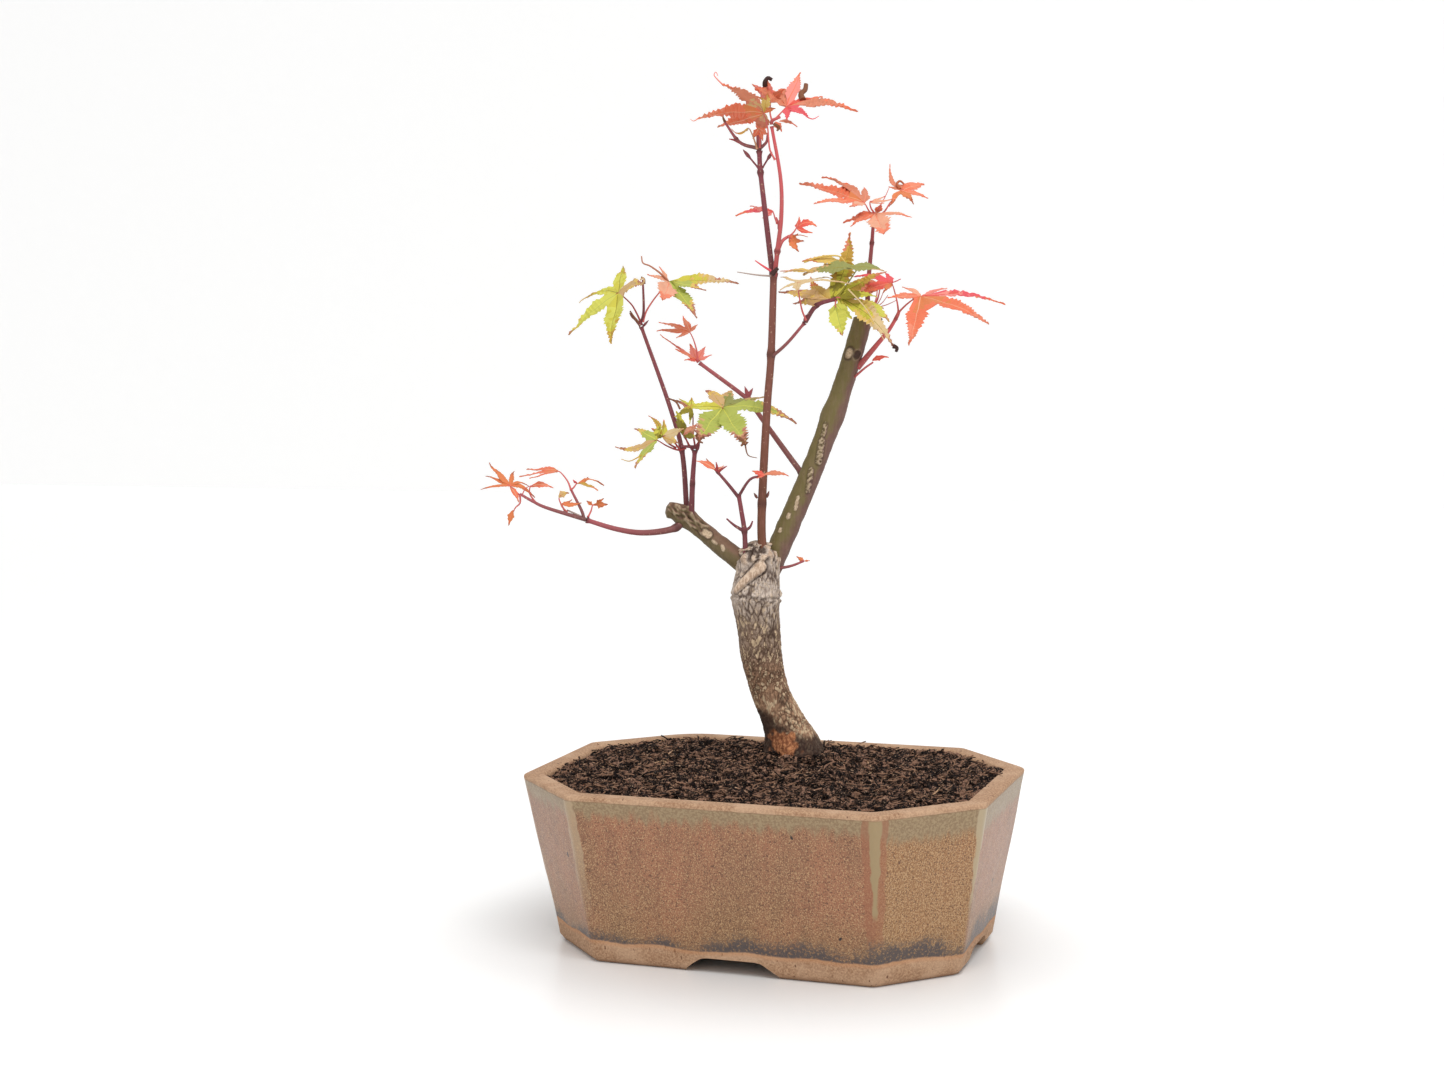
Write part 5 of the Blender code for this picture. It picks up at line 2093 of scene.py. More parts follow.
@dataclass
class Studio:
    """A plain pale floor and wall, soft light, and the camera."""

    wall_y: float = 2.4
    half_width: float = 4.0
    world_strength: float = 0.76
    lamp_power: float = 7.0
    lamp_size: tuple[float, float] = (0.7, 0.5)
    lamp_place: tuple[float, float, float] = (0.4, -0.58, 1.12)
    lamp_aim: tuple[float, float, float] = (0.0, 0.0, 0.15)
    sensor_width: float = 36.0  # millimetres
    nearest: float = 0.01  # that the camera sees

    def build(self) -> None:
        """Set up the studio."""
        self.floor()
        self.light()
        self.camera()
        bpy.context.scene.view_settings.view_transform = "Standard"

    def floor(self) -> None:
        """The floor, and the wall behind it."""
        wide, back = self.half_width, self.wall_y
        fold = Vector((-wide, back, 0)), Vector((wide, back, 0))
        near = Vector((-wide, -wide, 0)), Vector((wide, -wide, 0))
        high = Vector((wide, back, wide)), Vector((-wide, back, wide))
        for finish, points in (
            (Plaster("studio_floor", 0.32, 0.86, 0.2), [*near, fold[1], fold[0]]),
            (Plaster("studio_wall", 0.9, 0.93, 0.2), [*fold, *high]),
        ):
            piece = Shape(points, [(0, 1, 2, 3)]).make(finish.name, Matrix.Identity(4))
            dress(piece, finish)

    def light(self) -> None:
        """Soft white light from all round, with a broad lamp above."""
        world = bpy.data.worlds.new("studio")
        bpy.context.scene.world = world
        world.use_nodes = True
        background = world.node_tree.nodes["Background"]
        background.inputs["Color"].default_value = (1.0, 1.0, 1.0, 1.0)
        background.inputs["Strength"].default_value = self.world_strength
        lamp = bpy.data.lights.new("broad_lamp", "AREA")
        lamp.energy = self.lamp_power
        lamp.shape = "RECTANGLE"
        lamp.size, lamp.size_y = self.lamp_size
        made = link("broad_lamp", lamp)
        made.location = self.lamp_place
        made.rotation_euler = (Vector(self.lamp_aim) - made.location).to_track_quat("-Z", "Y").to_euler()

    def camera(self) -> None:
        """The camera, at the photograph's own viewpoint."""
        right, above, forward = SIGHT.axes()
        lens = bpy.data.cameras.new("camera")
        lens.sensor_width = self.sensor_width
        lens.lens = SIGHT.focal * self.sensor_width / SIGHT.size[0]
        lens.clip_start = self.nearest
        camera = link("camera", lens)
        turn = Matrix((right, above, -forward)).transposed().to_4x4()
        camera.matrix_world = Matrix.Translation(SIGHT.place) @ turn
        bpy.context.scene.camera = camera


# (x, y, z, width) of the trunk, from inside the soil to its rounded top
TRUNK_ROUTE = (
    (8.2, 0, 74, 29), (7, 0, 80, 25.5), (5.6, 0, 85.5, 22.6), (3.6, 0, 91, 19.8), (0.2, 0, 98.5, 17.8),
    (-3.2, 0, 106.5, 17.3), (-5.6, 0, 115, 17.9), (-7.6, 0, 125, 18.7), (-9.0, 0, 141, 20),
    (-9.9, 0, 152, 22), (-8.9, 0, 161, 20), (-9.0, 0, 168, 19.4), (-9.6, 0, 173, 14), (-10.0, 0, 175.5, 7),
)

BOUGH_LEFT = Path([(-12, 1, 164), (-22, 2, 171.5), (-38.5, 7, 185), (-45, 8, 189.3), (-49, 8, 190.3)], 9.6,
    7, ((0.83, 0.36),))
BOUGH_RIGHT = Path([(-4, 3, 162), (9, 6, 191), (21.4, 7, 220.5), (32.2, 8, 250.5), (39.7, 8, 275)], 10.6,
    8.6, ((0.63, 0.16),))

LEFT_MARKS = [
    Mark(MarkKind.CUT, (705.5, 532, 0.6), (708.5, 534.5, 0.6), 1.9),
    Mark(MarkKind.LENTICEL, (722.5, 546, -1.8), (723.5, 550, -1.8), 0.9),
    Mark(MarkKind.LENTICEL, (713, 541, -0.4), (717, 544, -0.6), 0.7),
    Mark(MarkKind.ROUGH, (690, 514, 2.6), (702, 528, 0.8), 4.4),
    Mark(MarkKind.ROUGH, (676, 508, 4.0), (684, 512, 3.0), 4.4),
]
RIGHT_MARKS = [
    Mark(MarkKind.CUT, (847, 354, 2.8), (848, 352, 2.8), 2.7),
    Mark(MarkKind.KNOT, (857, 356, 3.4), (858, 354, 3.6), 2),
    Mark(MarkKind.SCAR, (822, 441, 2.6), (818.5, 462, 2.2), 1.5),
    Mark(MarkKind.SCAR, (826, 424, 2.8), (823, 436, 2.6), 1),
    Mark(MarkKind.SCAR, (811, 470, 2.0), (808, 491, 1.6), 1.2),
    Mark(MarkKind.LENTICEL, (798, 497, 1.2), (795.5, 509, 1.0), 0.8),
    Mark(MarkKind.LENTICEL, (788.5, 514.5, 0.8), (788, 517, 0.6), 1.1),
    Mark(MarkKind.LENTICEL, (780, 528, 0.4), (779.5, 531, 0.4), 1),
    Mark(MarkKind.LENTICEL, (820, 477, 2.6), (819, 480, 2.4), 0.7),
    Mark(MarkKind.ROUGH, (854, 314, 4.0), (870, 312, 5.0), 2.6),
]

SHOOTS = {
    "leader": (Path([(-6, -3, 168), (-7, -3, 186), (-4.2, -2, 234), (-2, -2, 260), (-0.5, -1, 296)], 4, 3.1,
        ((0, 0.3), (0.2, 0.12), (0.72, 0.25), (1, 0.35))), "brown"),
    "leader_top": (Path([(-1.1, 0.3, 294.5), (-1.6, 1.1, 301), (-4, 2, 323), (-5.9, 3, 341), (-6.3, 3, 350)],
        2.6, 2.1, ((0.83, 0.5), (1, 0.5))), "maroon"),
    "red_shoot": (Path([(-0.1, -1.9, 294.5), (1.2, -3.2, 306), (3, -4, 321), (2.8, -4, 337.5),
        (-0.9, -4, 360)], 2.2, 1.4, ((0.17, 0.55), (1, 0.35))), "crimson"),
    "shoot_tall": (Path([(-40.5, 9, 188), (-42.3, 9, 216), (-47.7, 10, 237), (-60.1, 12, 273)], 2.6, 1.6,
        ((0, 0.2), (0.34, 0.4), (1, 0.5))), "maroon"),
    "shoot_short": (Path([(-38.5, 5, 187), (-37.7, 4, 204), (-36.5, 3, 217.5)], 2.8, 2, ((0.5, 0.12),
        (1, 0.5))), "maroon"),
    "shoot_low": (Path([(-41, 6.5, 186), (-47, 4, 182), (-60, -2, 181), (-72, -7, 183.3),
        (-84.9, -11, 187.8)], 3.2, 2, ((0.12, 0.3), (1, 0.5))), "mauve"),
    "shoot_back": (Path([(14, 7, 203), (4.5, 14, 216), (-7.6, 22, 233), (-12, 23, 239.3),
        (-34.2, 24, 256.3)], 2.8, 1.7, ((0.06, 0.3), (0.63, 0.6), (1, 0.3))), "mauve"),
    "shoot_side": (Path([(-2.2, -2.5, 258.6), (5, -6.5, 265), (12.6, -10, 273.8)], 1.6, 1.3, ((0.05, 0.4),
        (1, 0.8))), "mauve"),
    "shoot_right": (Path([(37, 6.5, 253.5), (45.3, 3, 263.6), (50.5, 1, 270), (53.8, -1, 275.5)], 2.8, 1.5,
        ((1, 0.3),)), "crimson"),
    "shoot_top_right": (Path([(40, 10.5, 272), (42, 14, 279), (42.5, 15, 290.5), (44.3, 15, 309.3),
        (45, 15, 318.4)], 2.6, 1.5, ((0.81, 0.4), (1, 0.3))), "mauve"),
}

# (start, tip, width) of each shoot's buds
BUDS = {
    "leader": [((-8.8, -3, 196), (-10.4, -3, 198.6), 1.3), ((-4.6, -3, 196.2), (-3.4, -3, 199.4), 1.3)],
    "leader_top": [((-6.8, 3, 342.5), (-13.6, 2, 350.6), 1.7), ((-5.0, 3, 342.5), (-0.6, 1.5, 349.4), 1.7),
        ((-6.4, 3, 349), (-6.4, 3, 354), 2.2)],
    "shoot_tall": [((-60.6, 12, 273), (-65.4, 12, 279.4), 1.3), ((-59.4, 12, 273), (-56.6, 11, 276), 1.2)],
    "shoot_short": [((-37.2, 3, 217), (-39.2, 3, 220.5), 1.4), ((-35.8, 3, 217), (-34.2, 3, 221), 1.5)],
    "shoot_low": [((-80, -9, 185.8), (-93.4, -10, 190.4), 1.5)],
    "shoot_back": [((-11.4, 23, 239), (-13.6, 23, 245.4), 2.4), ((-12.4, 23, 240), (-9.8, 23, 244.6), 2)],
    "shoot_side": [((12.8, -10, 274), (13.4, -10.5, 277.6), 1.8)],
}

MASSES = [
    Mass("top_leaves", "crimson", [Path([(-0.9, -4, 360.8), (-0.6, -4, 362.5), (3, -4.2, 364)], 1.7, 1.1)], [
        Leaf((764, 113, -5), [Lobe(759, 136, 16, 0.34, Palette.OLIVE_TAN, blunt=0.3),
            Lobe(717, 127, 13, 0.2, bow=(742, 118)), Lobe(697, 118, -7, 0.19, bow=(732, 106)),
            Lobe(721, 83.5, -24, 0.19, Palette.OLIVE_TAN, (747, 91)), Lobe(768, 92, -22, 0.24, Palette.GOLD),
            Lobe(776, 108, -13, 0.3, Palette.ORANGE)], Palette.CORAL, ((775, 160, -4), (770, 150, -4),
            (768.5, 138, -4), (767.5, 127, -4))),
        Leaf((771, 100, 4), [Lobe(757, 98, 13, 0.3, Palette.GOLD), Lobe(752, 84, 9, 0.24),
            Lobe(766, 79, 2, 0.24, blunt=0.4), Lobe(784, 89, -5, 0.26, Palette.DUSKY)], Palette.PINK,
            ((772, 121, -4), (770, 112, 0))),
        Leaf((787, 106, -1), [Lobe(787, 121, -20, 0.2, Palette.CRIMSON),
            Lobe(809, 118, -24, 0.2, Palette.CRIMSON), Lobe(858, 111, -12, 0.2, Palette.DUSKY, (818, 95)),
            Lobe(823, 97, 8, 0.17, Palette.SCARLET), Lobe(801, 72, 19, 0.16, Palette.PINK),
            Lobe(781, 88, 10, 0.5, Palette.DUSKY, blunt=0.7),
            Lobe(755, 88, 2, 0.42, Palette.DUSKY, (774, 92))], Palette.SALMON, ((772, 122, -4),
            (779, 115, -3))),
        Leaf((775, 122, -4), [Lobe(782, 131, -6, 0.35, Palette.SALMON)]),
        Leaf((779, 122, -4), [Lobe(797, 127, -4, 0.14, Palette.PEACH, (788, 120))]),
    ], [
        Thread([(724, 86, -23), (717, 79, -24), (714, 75, -24), (716, 72, -24), (718, 76, -24)], Tint.PINK,
        0.8), Thread([(765, 86, 3), (765, 82, 2), (768, 78, 2), (772, 80, 2)], Tint.DARK, 2.3, 1.6),
        Thread([(803, 100, 3), (801, 94, 6), (805, 90, 8), (806, 84, 9)], Tint.BROWN, 3, 2),
        Thread([(804, 98, 4), (812, 99, 4), (820, 97, 4)], Tint.CORAL, 0.6), Thread([(807, 117, -23),
        (813, 119, -23), (819, 116, -23)], Tint.CRIMSON, 0.6), Thread([(774, 124, -5), (779, 127, -6),
        (777, 131, -6)], Tint.BROWN, 1.5, 0.9), Thread([(700, 117, -7), (694, 121, -7), (690, 119, -7)],
        Tint.CORAL, 0.6, 0.2),
    ]),
    Mass("top_twigs", "mauve", [Path([(-6.3, 3, 350.5), (-6.5, 3, 357)], 2.6, 2.3), Path([(-6.6, 3, 351),
        (-15, 1, 353.7), (-21.6, -1, 362.5)], 1.8, 1, ((0.55, 0.5),)), Path([(-6.2, 3, 350.8),
        (-3.2, 0, 353.5), (-2.6, -1, 356.5)], 1.6, 1.1)], [
        Leaf((749, 128, -1), [Lobe(731, 129, -1, 0.17, bow=(740, 139), tilt=25)], Palette.GOLD,
            ((757, 149, 2), (755, 142, 1), (752, 134, 0)), Tint.STALK_TAN),
        Leaf((759, 128, 1), [Lobe(753, 139, 4, 0.3), Lobe(763, 141, 1, 0.3), Lobe(769, 135, -2, 0.3)],
            Palette.CORAL, ((760, 148, 2), (760, 138, 2))),
    ], [
        Thread([(739, 142, 1), (734, 140, 1), (729, 139, 1)], Tint.STALK_RED, 1.5, 0.4),
        Thread([(725, 122, -1), (723, 117, -1), (724, 113, -1)], Tint.BROWN, 1.4, 0.3),
    ]),
    Mass("leader_leaf", "crimson", [Path([(1.9, -3.5, 315.5), (1.8, 0, 318), (1, 4, 320.5)], 1.3, 0.9)], [
        Leaf((773, 211, 9), [Lobe(750, 206, 20, 0.17, blunt=0.2), Lobe(736, 216.5, 9, 0.2, bow=(758, 205)),
            Lobe(762, 218, 4, 0.2)], Palette.ROSE, ((777, 223, -1), (775, 218, 4))),
    ]),
    Mass("leader_side", "crimson", [Path([(1.4, -3.2, 305.8), (3.4, -3.2, 310), (6.4, -2, 312.2)], 1.8,
        1.3)], [
        Leaf((797, 228, -3), [Lobe(799, 217, 4, 0.28), Lobe(817, 227, -3, 0.22, bow=(807, 217)),
            Lobe(812, 233, -6, 0.16)], Palette.SCARLET, ((788, 237, -3), (793, 233, -3))),
        Leaf((789, 238, 0), [Lobe(798, 233, 5, 0.22), Lobe(804, 242, 1, 0.28), Lobe(799, 251, -3, 0.26)],
            Palette.ORANGE, ((788, 237, -3), (788.5, 237.5, -1.5))),
    ], [
        Thread([(793, 236.5, 2), (800, 235, 3), (808, 237, 3)], Tint.ORANGE, 0.5), Thread([(771, 271, -3),
        (763, 266, -3), (755, 260.5, -3)], Tint.CRIMSON, 1.2, 0.5), Thread([(771, 276, -3), (757, 275, -4),
        (737, 272, -4)], Tint.STALK_GREY, 0.9, 0.4), Thread([(772, 275, -5), (775, 271, -5), (778, 268, -5)],
        Tint.DARK, 2.6, 1.6),
    ]),
    Mass("upper_right", "crimson", [Path([(45.1, 15, 318.9), (45.4, 15, 320.6)], 1.9, 1.6)], [
        Leaf((865, 203, 15), [Lobe(864, 187, 38, 0.2, Palette.DUSKY),
            Lobe(821, 176.5, 38, 0.2, Palette.DUSKY, (846, 178)), Lobe(799.5, 183, 20, 0.2, bow=(840, 188)),
            Lobe(813, 203.5, 1, 0.1, Palette.SALMON, (836, 197)), Lobe(849, 207, -6, 0.2, Palette.PEACH)],
            Palette.CORAL, ((874, 217, 15), (869, 211, 15))),
        Leaf((875, 214, 13), [Lobe(882, 204, 20, 0.3, Palette.CORAL),
            Lobe(843.5, 223.5, 15, 0.26, bow=(859, 214)), Lobe(850, 226, 0, 0.18),
            Lobe(884, 233, -6, 0.5, Palette.PEACH, blunt=0.9),
            Lobe(912, 217, 0, 0.09, Palette.PEACH, (895, 211))], Palette.SALMON, ((874, 219, 15),)),
        Leaf((870, 202, 12), [Lobe(886, 196, 18, 0.18), Lobe(896, 198, 10, 0.16), Lobe(884, 203, 5, 0.16)],
            Palette.PEACH, ((875, 214, 13), (871, 208, 12))),
        Leaf((901, 190, 19), [Lobe(889, 206, 9, 0.14, Palette.ORANGE),
            Lobe(914, 204, 9, 0.25, Palette.ORANGE), Lobe(928, 198, 17, 0.2),
            Lobe(924, 184, 29, 0.3, blunt=0.5), Lobe(890, 163, 32, 0.09, Palette.DUSKY, (888, 184)),
            Lobe(888, 187, 22, 0.3, Palette.DUSKY)], Palette.SALMON, ((876, 216, 14), (884, 212, 15),
            (890, 203, 17), (896, 197, 18))),
    ], [
        Thread([(877, 214, 14), (879, 208, 15), (885, 197, 17), (889, 188, 19)], Tint.STALK_PINK, 0.6),
        Thread([(900, 189, 19.5), (897, 184, 21), (900, 181, 22), (904, 184, 22)], Tint.RUST, 1.6, 0.8),
    ]),
    Mass("right", "crimson", [Path([(53.5, -0.9, 274.9), (54.2, -1.1, 276.4), (55, -1.3, 278.2)], 1.9, 1.5)],
        [
        Leaf((921, 296, -4), [Lobe(903, 286, 4, 0.22, Palette.PEACH), Lobe(888, 298, -14, 0.2),
            Lobe(909.5, 345, -38, 0.2, Palette.CORAL, (916, 318)),
            Lobe(989, 323.5, -33, 0.14, Palette.CORAL, (958, 301)),
            Lobe(1006, 304.5, -7, 0.1, Palette.ROSE, (962, 287)), Lobe(948, 288, 6, 0.16, Palette.PINK)],
            Palette.SALMON, ((899, 312, -4), (906, 305, -4), (914, 299, -4))),
        Leaf((892, 283, -1), [Lobe(885, 272, 9, 0.3), Lobe(853, 276, 5, 0.18, bow=(872, 272)),
            Lobe(862, 294, -10, 0.24, Palette.SCARLET, (874, 284)),
            Lobe(884, 293, -12, 0.25, Palette.ORANGE), Lobe(901, 279, -12, 0.3)], Palette.CRIMSON,
            ((898, 316, -3), (898, 308, -2), (896, 297, -1))),
    ]),
    Mass("pink_mid", "mauve", [Path([(42.5, 7.8, 275), (43.4, 7.5, 277.5), (44.5, 7, 280)], 2.4, 2.1)], [
        Leaf((880, 286, 4), [Lobe(862, 279, 12, 0.25), Lobe(851, 285, 3, 0.25), Lobe(862, 295, -4, 0.25)],
            Palette.DUSKY, ((874, 307, 8), (878, 298, 6))),
        Leaf((877, 290, 23), [Lobe(866, 283, 34, 0.3), Lobe(845, 288, 29, 0.24), Lobe(849, 298, 21, 0.26)],
            Palette.DUSKY, ((873, 308, 9), (876, 299, 18))),
    ], [
        Thread([(874, 308, 8), (880, 300, 8), (884, 290, 8)], Tint.STALK_PINK, 0.5), Thread([(874, 308, 8),
        (882, 303, 7), (888, 295, 6)], Tint.STALK_PINK, 0.5), Thread([(874, 308, 8), (886, 305, 5),
        (897, 300, 2)], Tint.STALK_PINK, 0.5),
    ]),
    Mass("bough_sprig", "crimson", [Path([(35, 6, 249), (40, 2, 253.5), (43.5, 0, 256)], 1.2, 0.8)], [
        Leaf((872, 362, 0), [Lobe(889, 357.5, 1, 0.2, bow=(880, 356))], Palette.SCARLET),
    ]),
    Mass("centre_right", "maroon", [Path([(12.9, -10.1, 274.2), (18, -11.5, 281.4), (26.5, -12, 284.2)], 2.2,
        1.7, ((0.5, 0.3), (1, 0.4)))], [
        Leaf((831, 300, -12), [Lobe(877, 296, -18, 0.14, Palette.MOSS, (856, 290)),
            Lobe(886, 271, -8, 0.12, Palette.OLIVE, (862, 280)), Lobe(849.7, 232, 1, 0.18, bow=(848, 266)),
            Lobe(810, 277, 11, 0.22, Palette.GOLD, (815, 292)),
            Lobe(778, 292, 2, 0.14, Palette.TAN, (806, 291)), Lobe(793, 303, -6, 0.2, Palette.TAN)],
            Palette.OLIVE, ((836, 300, -12),), Tint.STALK_RED),
        Leaf((837, 297, -13), [Lobe(850, 318, -16, 0.2), Lobe(894, 348, -18, 0.16, bow=(872, 306)),
            Lobe(872, 311, -10, 0.16)], Palette.LIME_TAN, ((836, 300, -12),), face=(0.3, -0.8, 0.4)),
        Leaf((857, 269, -15), [Lobe(802, 275, -6, 0.19, bow=(829, 262), blunt=0.1)], Palette.SAGE,
            ((838, 297, -12), (846, 286, -11), (854, 274, -14)), Tint.OLIVE, face=(0, -0.6, 0.8)),
        Leaf((846, 268, -15), [Lobe(884, 271, -24, 0.2, bow=(866, 264))], Palette.SAGE, face=(0, -0.6, 0.8)),
        Leaf((846, 264, -8), [Lobe(802, 262, -4, 0.14, bow=(820, 255))], Palette.GOLD, face=(0, -0.6, 0.8)),
        Leaf((815, 272, -8), [Lobe(780, 271, -2, 0.08)], Palette.GOLD, face=(0, -0.6, 0.8)),
        Leaf((797, 283, -18), [Lobe(779, 290, -22, 0.2), Lobe(798, 293, -34, 0.22),
            Lobe(852, 284, -26, 0.07, bow=(825, 277)), Lobe(832, 278, -6, 0.08), Lobe(780, 277, -4, 0.17)],
            Palette.PALE_TAN, ((806, 320, -11), (802, 310, -13), (799, 295, -17))),
        Leaf((835, 304, -15), [Lobe(832, 322, -14, 0.3), Lobe(843, 336, -20, 0.3, blunt=0.4),
            Lobe(852, 319, -18, 0.3)], Palette.YELLOW, ((836, 300, -12),)),
        Leaf((866, 301, -9), [Lobe(874, 313, -9, 0.24), Lobe(890, 322, -13, 0.25), Lobe(884, 309, -3, 0.2)],
            Palette.YELLOW, ((836, 299, -12), (850, 297, -10))),
    ], [
        Thread([(893, 346, -18), (897, 348, -18), (896, 352, -18)], Tint.DARK, 2.2, 1.2),
        Thread([(804, 262, -4.2), (820, 257, -6), (838, 256, -8), (846, 263, -8.5)], Tint.GOLD, 1.1, 0.6),
        Thread([(812, 272, -7.5), (796, 270, -6), (783, 273, -5)], Tint.TAN, 0.6), Thread([(879, 317, -12),
        (882, 320, -12)], Tint.DARK, 1.6, 1), Thread([(848, 289, -17), (866, 309, -18), (884, 340, -19)],
        Tint.PALE_TAN, 0.7, 0.4),
    ]),
    Mass("left_upper", "maroon", [Path([(-60.3, 12, 273.5), (-60.6, 12, 275.2)], 2.3, 1.9),
        Path([(-60.4, 12, 274.4), (-58.9, 11.5, 280), (-59, 10, 294)], 1.3, 0.9)], [
        Leaf((619, 293, 8), [Lobe(623.5, 265.5, 32, 0.27, Palette.LIME),
            Lobe(586, 297, 28, 0.19, Palette.LIME, (602, 287)),
            Lobe(568.5, 335, 6, 0.165, Palette.YELLOW, (594, 304)),
            Lobe(610, 344, -16, 0.22, Palette.LIME, (611, 318)),
            Lobe(642, 285, -11, 0.34, Palette.TAN, (632, 280), 0.3)], Palette.LIME, ((641, 323, 12),
            (637, 314, 11), (631, 304, 9)), Tint.STALK_RED),
        Leaf((669, 282, 14), [Lobe(659, 267, 14, 0.18, Palette.PEACH),
            Lobe(647, 275, 2, 0.16, Palette.PEACH), Lobe(663, 300, -12, 0.38, Palette.PEACH, blunt=0.5),
            Lobe(697, 318, -5, 0.2, Palette.GREEN, (686, 296)), Lobe(706, 290, 2, 0.16, Palette.GREEN),
            Lobe(739, 283, 10, 0.155, Palette.LIME_TAN, (702, 276))], Palette.GREEN, ((643, 322, 12),
            (646, 312, 13), (652, 302, 14), (659, 293, 14))),
    ], [
        Thread([(587, 297, 27), (582, 300, 26), (579, 303, 26)], Tint.OCHRE, 0.6), Thread([(668, 281, 13.5),
        (660, 273, 9), (650, 266, 5), (643, 263, 3), (641.5, 256, 3)], Tint.PINK_BROWN, 1.1, 0.6),
        Thread([(640.5, 285, -10.5), (644, 282, -12), (643, 278, -12), (640, 280, -12)], Tint.TAN, 0.9, 0.6),
        Thread([(644, 284, 10), (644, 279, 10), (641, 277, 10)], Tint.BROWN, 1.4, 0.7),
        Thread([(639, 323, 12), (634, 317, 11), (630, 311, 11)], Tint.BROWN, 1.2, 0.7),
    ]),
    Mass("left_mid", "maroon", [Path([(-36.4, 3, 218), (-36, 3.3, 220)], 2.3, 1.9), Path([(-36.2, 3, 219),
        (-42.5, 2, 219.4)], 1.6, 1.1)], [
        Leaf((722, 408, 10), [Lobe(705, 391, 21, 0.34, Palette.TAN, (716, 391), 0.4),
            Lobe(682, 409, 3, 0.14, Palette.LIME, (702, 403)), Lobe(697, 441, -12, 0.33, blunt=0.7),
            Lobe(746, 444, -16, 0.31, blunt=0.6), Lobe(797, 424, 0, 0.13, Palette.GREEN, (764, 398)),
            Lobe(764, 397, 18, 0.15, Palette.SAGE), Lobe(731, 390, 21, 0.4, Palette.SAGE, blunt=0.6)],
            Palette.SCORCHED, ((696, 446, 3), (703, 436, 9), (714, 419, 13)), Tint.STALK_RED, notch=0.24),
        Leaf((692, 408, 14), [Lobe(691, 397, 20, 0.34, Palette.LIME), Lobe(679, 398, 18, 0.2, Palette.LIME),
            Lobe(667, 398, 14, 0.08, Palette.DRY), Lobe(674, 416, 7, 0.16), Lobe(689, 424, 6, 0.16)],
            Palette.MOSS, ((695, 446, 3), (693, 432, 9), (693, 418, 13)), Tint.STALK_RED),
        Leaf((657, 440, 0), [Lobe(648, 416, 17, 0.12, Palette.OLIVE, (663, 421)), Lobe(634, 428, 12, 0.16),
            Lobe(615, 447, 6, 0.11, Palette.TAN, (634, 453)), Lobe(635, 467, -14, 0.24)], Palette.GREEN,
            ((686, 448, 3), (678, 450, 2), (667, 446, 1)), Tint.STALK_RED),
        Leaf((663, 437, 1), [Lobe(651, 429, 9, 0.34, Palette.OLIVE), Lobe(664, 420, 6, 0.26, Palette.OLIVE),
            Lobe(684, 428, -6, 0.24, Palette.PALE_TAN), Lobe(679, 443, -8, 0.24, Palette.TAN)], Palette.LIME,
            ((676, 448, 2), (668, 443, 1)), Tint.STALK_RED),
        Leaf((684, 436, 2), [Lobe(676, 411, -4, 0.26), Lobe(697, 424, -6, 0.25, Palette.PEACH),
            Lobe(697, 436, -8, 0.22)], Palette.MOSS, ((690, 447, 3), (687, 441, 2)), Tint.STALK_RED),
    ], [
        Thread([(745, 444, -15), (748, 455, -15), (757, 458, -15)], Tint.BROWN, 0.8),
        Thread([(739, 438, -15), (744, 442, -16), (741, 446, -16)], Tint.BROWN, 1.6, 0.9),
        Thread([(697, 437, -12), (699, 441, -12), (703, 443, -12)], Tint.BROWN, 1.3, 0.7),
        Thread([(642, 455, -8), (630, 461, -9), (621, 459, -9)], Tint.OCHRE, 0.7), Thread([(680, 409, 8),
        (676, 402, 9), (668, 398, 10)], Tint.BROWN, 1, 0.7), Thread([(689, 446, 3), (684, 434, 2),
        (682, 428, 0)], Tint.STALK_RED, 0.9, 0.6), Thread([(680, 450, 2), (675, 443, 1), (671, 437, 0)],
        Tint.STALK_RED, 1, 0.6),
    ]),
    Mass("left_low", "mauve", [Path([(-85.3, -11.1, 188), (-102, -13, 193.5), (-108.3, -14, 196.6),
        (-114, -14, 200)], 2, 1.2), Path([(-86, -11.2, 188.2), (-87, -11, 192), (-91.5, -9.5, 201)], 1.5,
        1.1)], [
        Leaf((510, 486, -14), [Lobe(535, 498, -12, 0.11, bow=(524, 483)),
            Lobe(529, 486, -10, 0.12, bow=(519, 479)), Lobe(514, 471, -1, 0.2),
            Lobe(489, 462, -4, 0.1, bow=(499, 476)), Lobe(485, 476, -6, 0.08),
            Lobe(480, 489.5, -21, 0.08, bow=(494, 484)),
            Lobe(519, 502, -16, 0.16, Palette.CORAL, (516, 493))], Palette.ORANGE, ((521, 496, -14),
            (516, 492, -14)), notch=0.2),
        Leaf((514, 510, -14), [Lobe(508, 526, -14, 0.2)], Palette.ORANGE, ((520, 495, -14), (520, 503, -14),
            (516, 507, -14))),
        Leaf((530, 487, -12), [Lobe(554, 488, -12, 0.15, bow=(541, 481))], Palette.SALMON, ((535, 502, -12),
            (530, 494, -12))),
        Leaf((559, 471, -8), [Lobe(526, 470, 5, 0.17), Lobe(519, 477, -6, 0.13), Lobe(529, 479, -18, 0.13)],
            Palette.CORAL, ((571, 490, -10), (568, 482, -9), (563, 475, -8))),
        Leaf((577, 484, -3), [Lobe(589, 477, 7, 0.22), Lobe(604, 485.5, 0, 0.2, bow=(589, 474)),
            Lobe(599, 491, -8, 0.17, Palette.OCHRE, (589, 484)), Lobe(572, 480, -4, 0.3, Palette.CRIMSON)],
            Palette.ORANGE, ((571, 490, -10), (574, 487, -7))),
        Leaf((561, 505, -12), [Lobe(573, 500, -10, 0.22), Lobe(582, 503, -12, 0.15)], Palette.ORANGE,
            ((567, 512, -11), (563, 508, -12))),
        Leaf((593, 505, -6), [Lobe(604, 499, -2, 0.25), Lobe(608, 504, -4, 0.25), Lobe(587, 501, -6, 0.3)],
            Palette.ORANGE, ((588, 517, -11), (591, 511, -9))),
